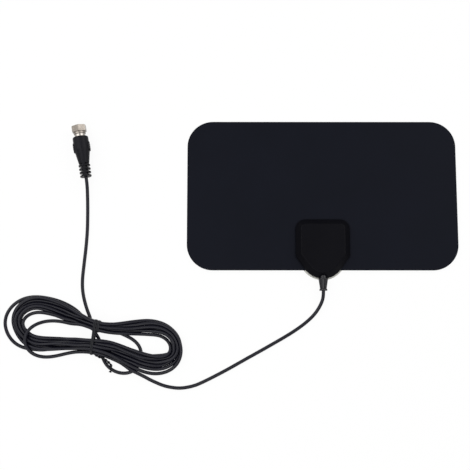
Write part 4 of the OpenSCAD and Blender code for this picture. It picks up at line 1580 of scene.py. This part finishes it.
@dataclass
class Plug:
    """The screw-on plug: a moulded, ringed grip, a metal sleeve, an inner post and a free nut."""

    mouth: Point = (-199.3, 60.3, 6.4)
    turn: float = 9.4
    nut_flats: float = 11.0
    nut_len: float = 7.0
    hex_len: float = 5.2
    collar_r: float = 4.85
    nut_chamfer: float = 0.5
    bore_r: float = 4.4
    lip_z: float = 5.4
    run_r: float = 3.25
    thread_pitch: float = 0.79
    grip_z: float = 9.5
    grip_r: float = 6.4
    ringed_z: float = 32.1
    end_z: float = 43.1
    taper_r: float = 4.25
    ring_core_r: float = 2.45
    rings: int = 4
    ring_t: float = 1.3
    ring_r: float = 4.75
    last_ring_r: float = 4.65
    ring_pitch: float = 2.933
    pad_z: float = 13.9
    pad_len: float = 8.4
    pad_w: float = 7.0
    pad_t: float = 0.35
    grooves: int = 4
    web_w: float = 2.4
    groove_w: float = 0.7
    groove_depth: float = 0.35
    # A pad's layers, as distance from the axis and scale: inside the grip, at its edge, at its face
    pad_layers: tuple[Pair, ...] = ((3.0, 1.0), (6.5, 1.0), (6.75, 0.93))
    sleeve_r: float = 4.4
    sleeve_z: float = 7.2
    neck_r: float = 3.2
    cord_hole_r: float = LEAD_HOLE_R
    post_end: float = 14.0
    # The post's bore and flange, and where the flange starts and ends
    post_bore_r: float = 2.0
    flange_r: float = 3.9
    flange_z: Pair = (4.2, 5.3)
    barrel_r: float = 0.6
    pin_r: float = 0.4
    # Radius and height of the pin's rounded end
    pin_end: tuple[Pair, ...] = ((0.12, 0.5), (0.4, 0.85))
    ridge_r: float = 0.3
    thread_start: float = 0.5
    # Roundings of the nut, turned pieces, the grip's body, its joins with the pads, and its rings
    nut_round: float = 0.12
    turned_round: float = 0.12
    grip_round: float = 0.5
    union_round: float = 0.1
    ring_round: float = 0.3
    # Where the grip starts to narrow and where it is narrower by waist_in, as shares of its length
    waists: Pair = (0.47, 0.65)
    waist_in: float = 0.75
    # Inner radius of the grip's rings, and how far the first one is from the taper
    ring_bore_r: float = 2.0
    ring_start: float = 0.9
    # Length of the nut's bore, taken at both its ends, that has no thread
    plain_len: float = 1.6

    def where(self) -> Matrix:
        """Gives the turn and place that put a piece made along Z on the plug's axis."""
        turned = Matrix.Rotation(math.radians(self.turn), 4, "Z") @ LAID_DOWN
        return Matrix.Translation(self.mouth) @ turned

    def pad(self, side: float) -> bpy.types.Object:
        """Makes one grooved finger pad.

        Args:
            side: 1 for the pad at +X, and -1 for the other.

        Returns:
            The pad.
        """
        r, far = self.pad_w / 2, self.pad_z + self.pad_len - self.pad_w / 2
        arc = np.linspace(-math.pi / 2, math.pi / 2, 17)
        ring = [(r * math.sin(a), self.pad_z + r - r * math.cos(a)) for a in arc]
        ring += [(-r * math.sin(a), far + r * math.cos(a)) for a in arc]
        middle = self.pad_z + self.pad_len / 2
        rings = [
            [(side * x, y * k, middle + (z - middle) * k) for y, z in ring]
            for x, k in self.pad_layers
        ]
        made = piece("pad", *loft(rings), SOFT_PVC)
        step = self.pad_len / (self.grooves + 1)
        face, half = self.grip_r + self.pad_t, self.groove_w / 2
        x0, x1 = sorted((side * (face - self.groove_depth), side * (self.grip_r + 2)))
        z0 = self.pad_z + step
        cutter = block("groove", (x0, -5, z0 - half), (x1, 5, z0 + half), SOFT_PVC)
        rise = (0.0, 0.0, step * MM)
        grown(cutter, repeat_tree(SOFT_PVC), Count=self.grooves, Step=rise)
        return combine(made, cutter, "DIFFERENCE")

    def end_rings(self) -> bpy.types.Object:
        """Makes the rings of the grip's thin end, each a little smaller than the one before.

        Returns:
            The rings, as one piece.
        """
        r, t, core = self.ring_r, self.ring_t, self.ring_bore_r
        corners = [(core, 0), (r, 0), (r, t), (core, t)]
        profile = rounded(corners, self.ring_round, 3, closed=True)
        ring = softened(piece("ring", *revolve(profile, 64, closed=True), SOFT_PVC))
        rise = (0.0, 0.0, self.ring_pitch * MM)
        shrink = (self.last_ring_r / r - 1) / (self.rings - 1)
        grown(ring, repeat_tree(SOFT_PVC), Count=self.rings, Step=rise, Growth=shrink)
        return placed(ring, Matrix.Translation((0, 0, self.ringed_z + self.ring_start)))

    def grip(self) -> bpy.types.Object:
        """Makes the moulded grip with its pads, rings and web.

        Returns:
            The grip.
        """
        z0, z1, hole_r = self.grip_z, self.ringed_z, self.cord_hole_r
        span = z1 - z0
        outside = [
            (self.sleeve_r, z0),
            (self.grip_r - 0.5, z0),
            (self.grip_r, z0 + 0.7),
            (self.grip_r, z0 + span * self.waists[0]),
            (self.grip_r - self.waist_in, z0 + span * self.waists[1]),
            (self.taper_r, z1),
            (self.ring_core_r, z1),
            (self.ring_core_r, self.end_z),
            (hole_r, self.end_z),
            (hole_r, self.post_end),
            (self.sleeve_r, self.post_end),
        ]
        solid = revolve(rounded(outside, self.grip_round, 4, closed=True), 72, closed=True)
        body = piece("plug_grip_moulding", *solid, SOFT_PVC)
        for side in (-1.0, 1.0):
            combine(body, self.pad(side), "UNION")
        tall, half = self.last_ring_r - 0.3, self.web_w / 2
        ends = (-half, -tall, z1 - 1), (half, tall, self.end_z - 0.6)
        web = block("web", *ends, SOFT_PVC)
        hole = piece("hole", *revolve([(hole_r, z1 - 2), (hole_r, self.end_z + 1)], 32), SOFT_PVC)
        combine(body, combine(web, hole, "DIFFERENCE"), "UNION")
        softened(body, self.union_round, sharp=40)
        return joined("plug_grip_moulding", [body, self.end_rings()])

    def thread(self) -> bpy.types.Object:
        """Makes the nut's inner thread.

        Returns:
            The thread.
        """
        made = piece("thread", [(0, 0, 0)], [], NICKEL)
        turns = (self.lip_z - self.plain_len) / self.thread_pitch
        grown(
            made,
            thread_tree(NICKEL),
            Radius=(self.bore_r + 0.04) * MM,
            Length=turns * self.thread_pitch * MM,
            Turns=turns,
            Ridge=self.ridge_r * MM,
        )
        softened(made, sharp=40)
        return placed(made, Matrix.Translation((0, 0, self.thread_start)))

    def nut(self) -> bpy.types.Object:
        """Makes the hexagon coupling nut, its flats at the sides, with its thread and collar.

        Returns:
            The nut.
        """
        corner, tall = self.nut_flats / 2 / math.cos(math.pi / 6), self.hex_len
        hexagon = piece("coupling_nut_hexagon", *revolve([(corner, 0), (corner, tall)], 6), NICKEL)
        placed(hexagon, Matrix.Rotation(math.pi / 6, 4, "Z"))
        edge = self.nut_chamfer
        barrel = [(corner - edge, 0), (corner, edge), (corner, tall - edge), (corner - edge, tall)]
        collar = [(self.collar_r, tall / 2), (self.collar_r, self.nut_len)]
        bore = [
            (self.bore_r + 0.35, -0.1),
            (self.bore_r, 0.35),
            (self.bore_r, self.lip_z),
            (self.run_r, self.lip_z),
            (self.run_r, self.nut_len + 1),
        ]
        for name, profile, how in (
            ("barrel", barrel, "INTERSECT"),
            ("collar", collar, "UNION"),
            ("bore", bore, "DIFFERENCE"),
        ):
            combine(hexagon, piece(name, *revolve(profile, 96), NICKEL), how)
        softened(hexagon, self.nut_round, sharp=25)
        return joined("coupling_nut_hexagon", [hexagon, self.thread()])

    def turned(
        self, name: str, profile: Sequence[Pair], finish: Finish, closed: bool = True
    ) -> bpy.types.Object:
        """Makes a turned piece with slightly rounded edges.

        Args:
            name: The piece's name.
            profile: Radius and height of each of its corners.
            finish: What it is made of.
            closed: Whether it is a tube.

        Returns:
            The piece.
        """
        rim = rounded(profile, self.turned_round, 3, closed=closed)
        solid = revolve(rim, 72, closed=closed)
        return softened(piece(name, *solid, finish))

    def build(self) -> list[bpy.types.Object]:
        """Makes the plug's pieces, of which the nut turns freely.

        Returns:
            The pieces.
        """
        neck, out, end, barrel = self.neck_r, self.sleeve_r, self.post_end, self.barrel_r
        tube, (low, high) = self.post_bore_r, self.flange_z
        sleeve = [(neck, self.sleeve_z), (out, self.sleeve_z), (out, end), (neck, end)]
        flange = [(tube, low), (self.flange_r, low), (self.flange_r, high)]
        post = [*flange, (neck, high), (neck, end), (tube, end)]
        insulator = [(barrel, low), (tube, low), (tube, end), (barrel, end)]
        pin = [*self.pin_end, (self.pin_r, low), (barrel, low), (barrel, end)]
        # The sleeve's plate is smoother than the nut's, and its colour is painted lighter as a
        # painted highlight
        ring = self.turned("sleeve_ring", sleeve, POLISHED_NICKEL_PAINTED_LIGHTER)
        tube_end = self.turned("inner_post", post, TINNED)
        core = self.turned("plug_insulator", insulator, POLYETHYLENE)
        contact = self.turned("contact_pin", pin, COPPER, closed=False)
        made = [
            (self.grip(), "plug_grip", "grip", "antenna"),
            (ring, "connector_sleeve", "nickel", "antenna"),
            (tube_end, "connector_post", "nickel", "antenna"),
            (core, "plug_dielectric", "insulator", "antenna"),
            (contact, "centre_pin", "copper", "antenna"),
            (self.nut(), "coupling_nut", "nickel", "nut"),
        ]
        for shown, node, slot, body in made:
            placed(shown, self.where())
            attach(shown, body)
            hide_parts(node)
            report(shown)
        return [shown for shown, *_ in made]


def main() -> None:
    """Builds the parts in order and reports each."""
    logging.basicConfig(level=logging.INFO, format="%(message)s")
    Studio().build()
    lead, line, long = Lead().build()
    LOG.info("coaxial_lead: %.3f m, highest %.1f mm", long, line[:, 2].max() + LEAD_R)
    Sheet().build()
    Circuit().build()
    Housing().build()
    relief = StrainRelief().build()
    tie = TwistTie().build(line)
    plug = Plug().build()


if __name__ == "__main__":
    main()
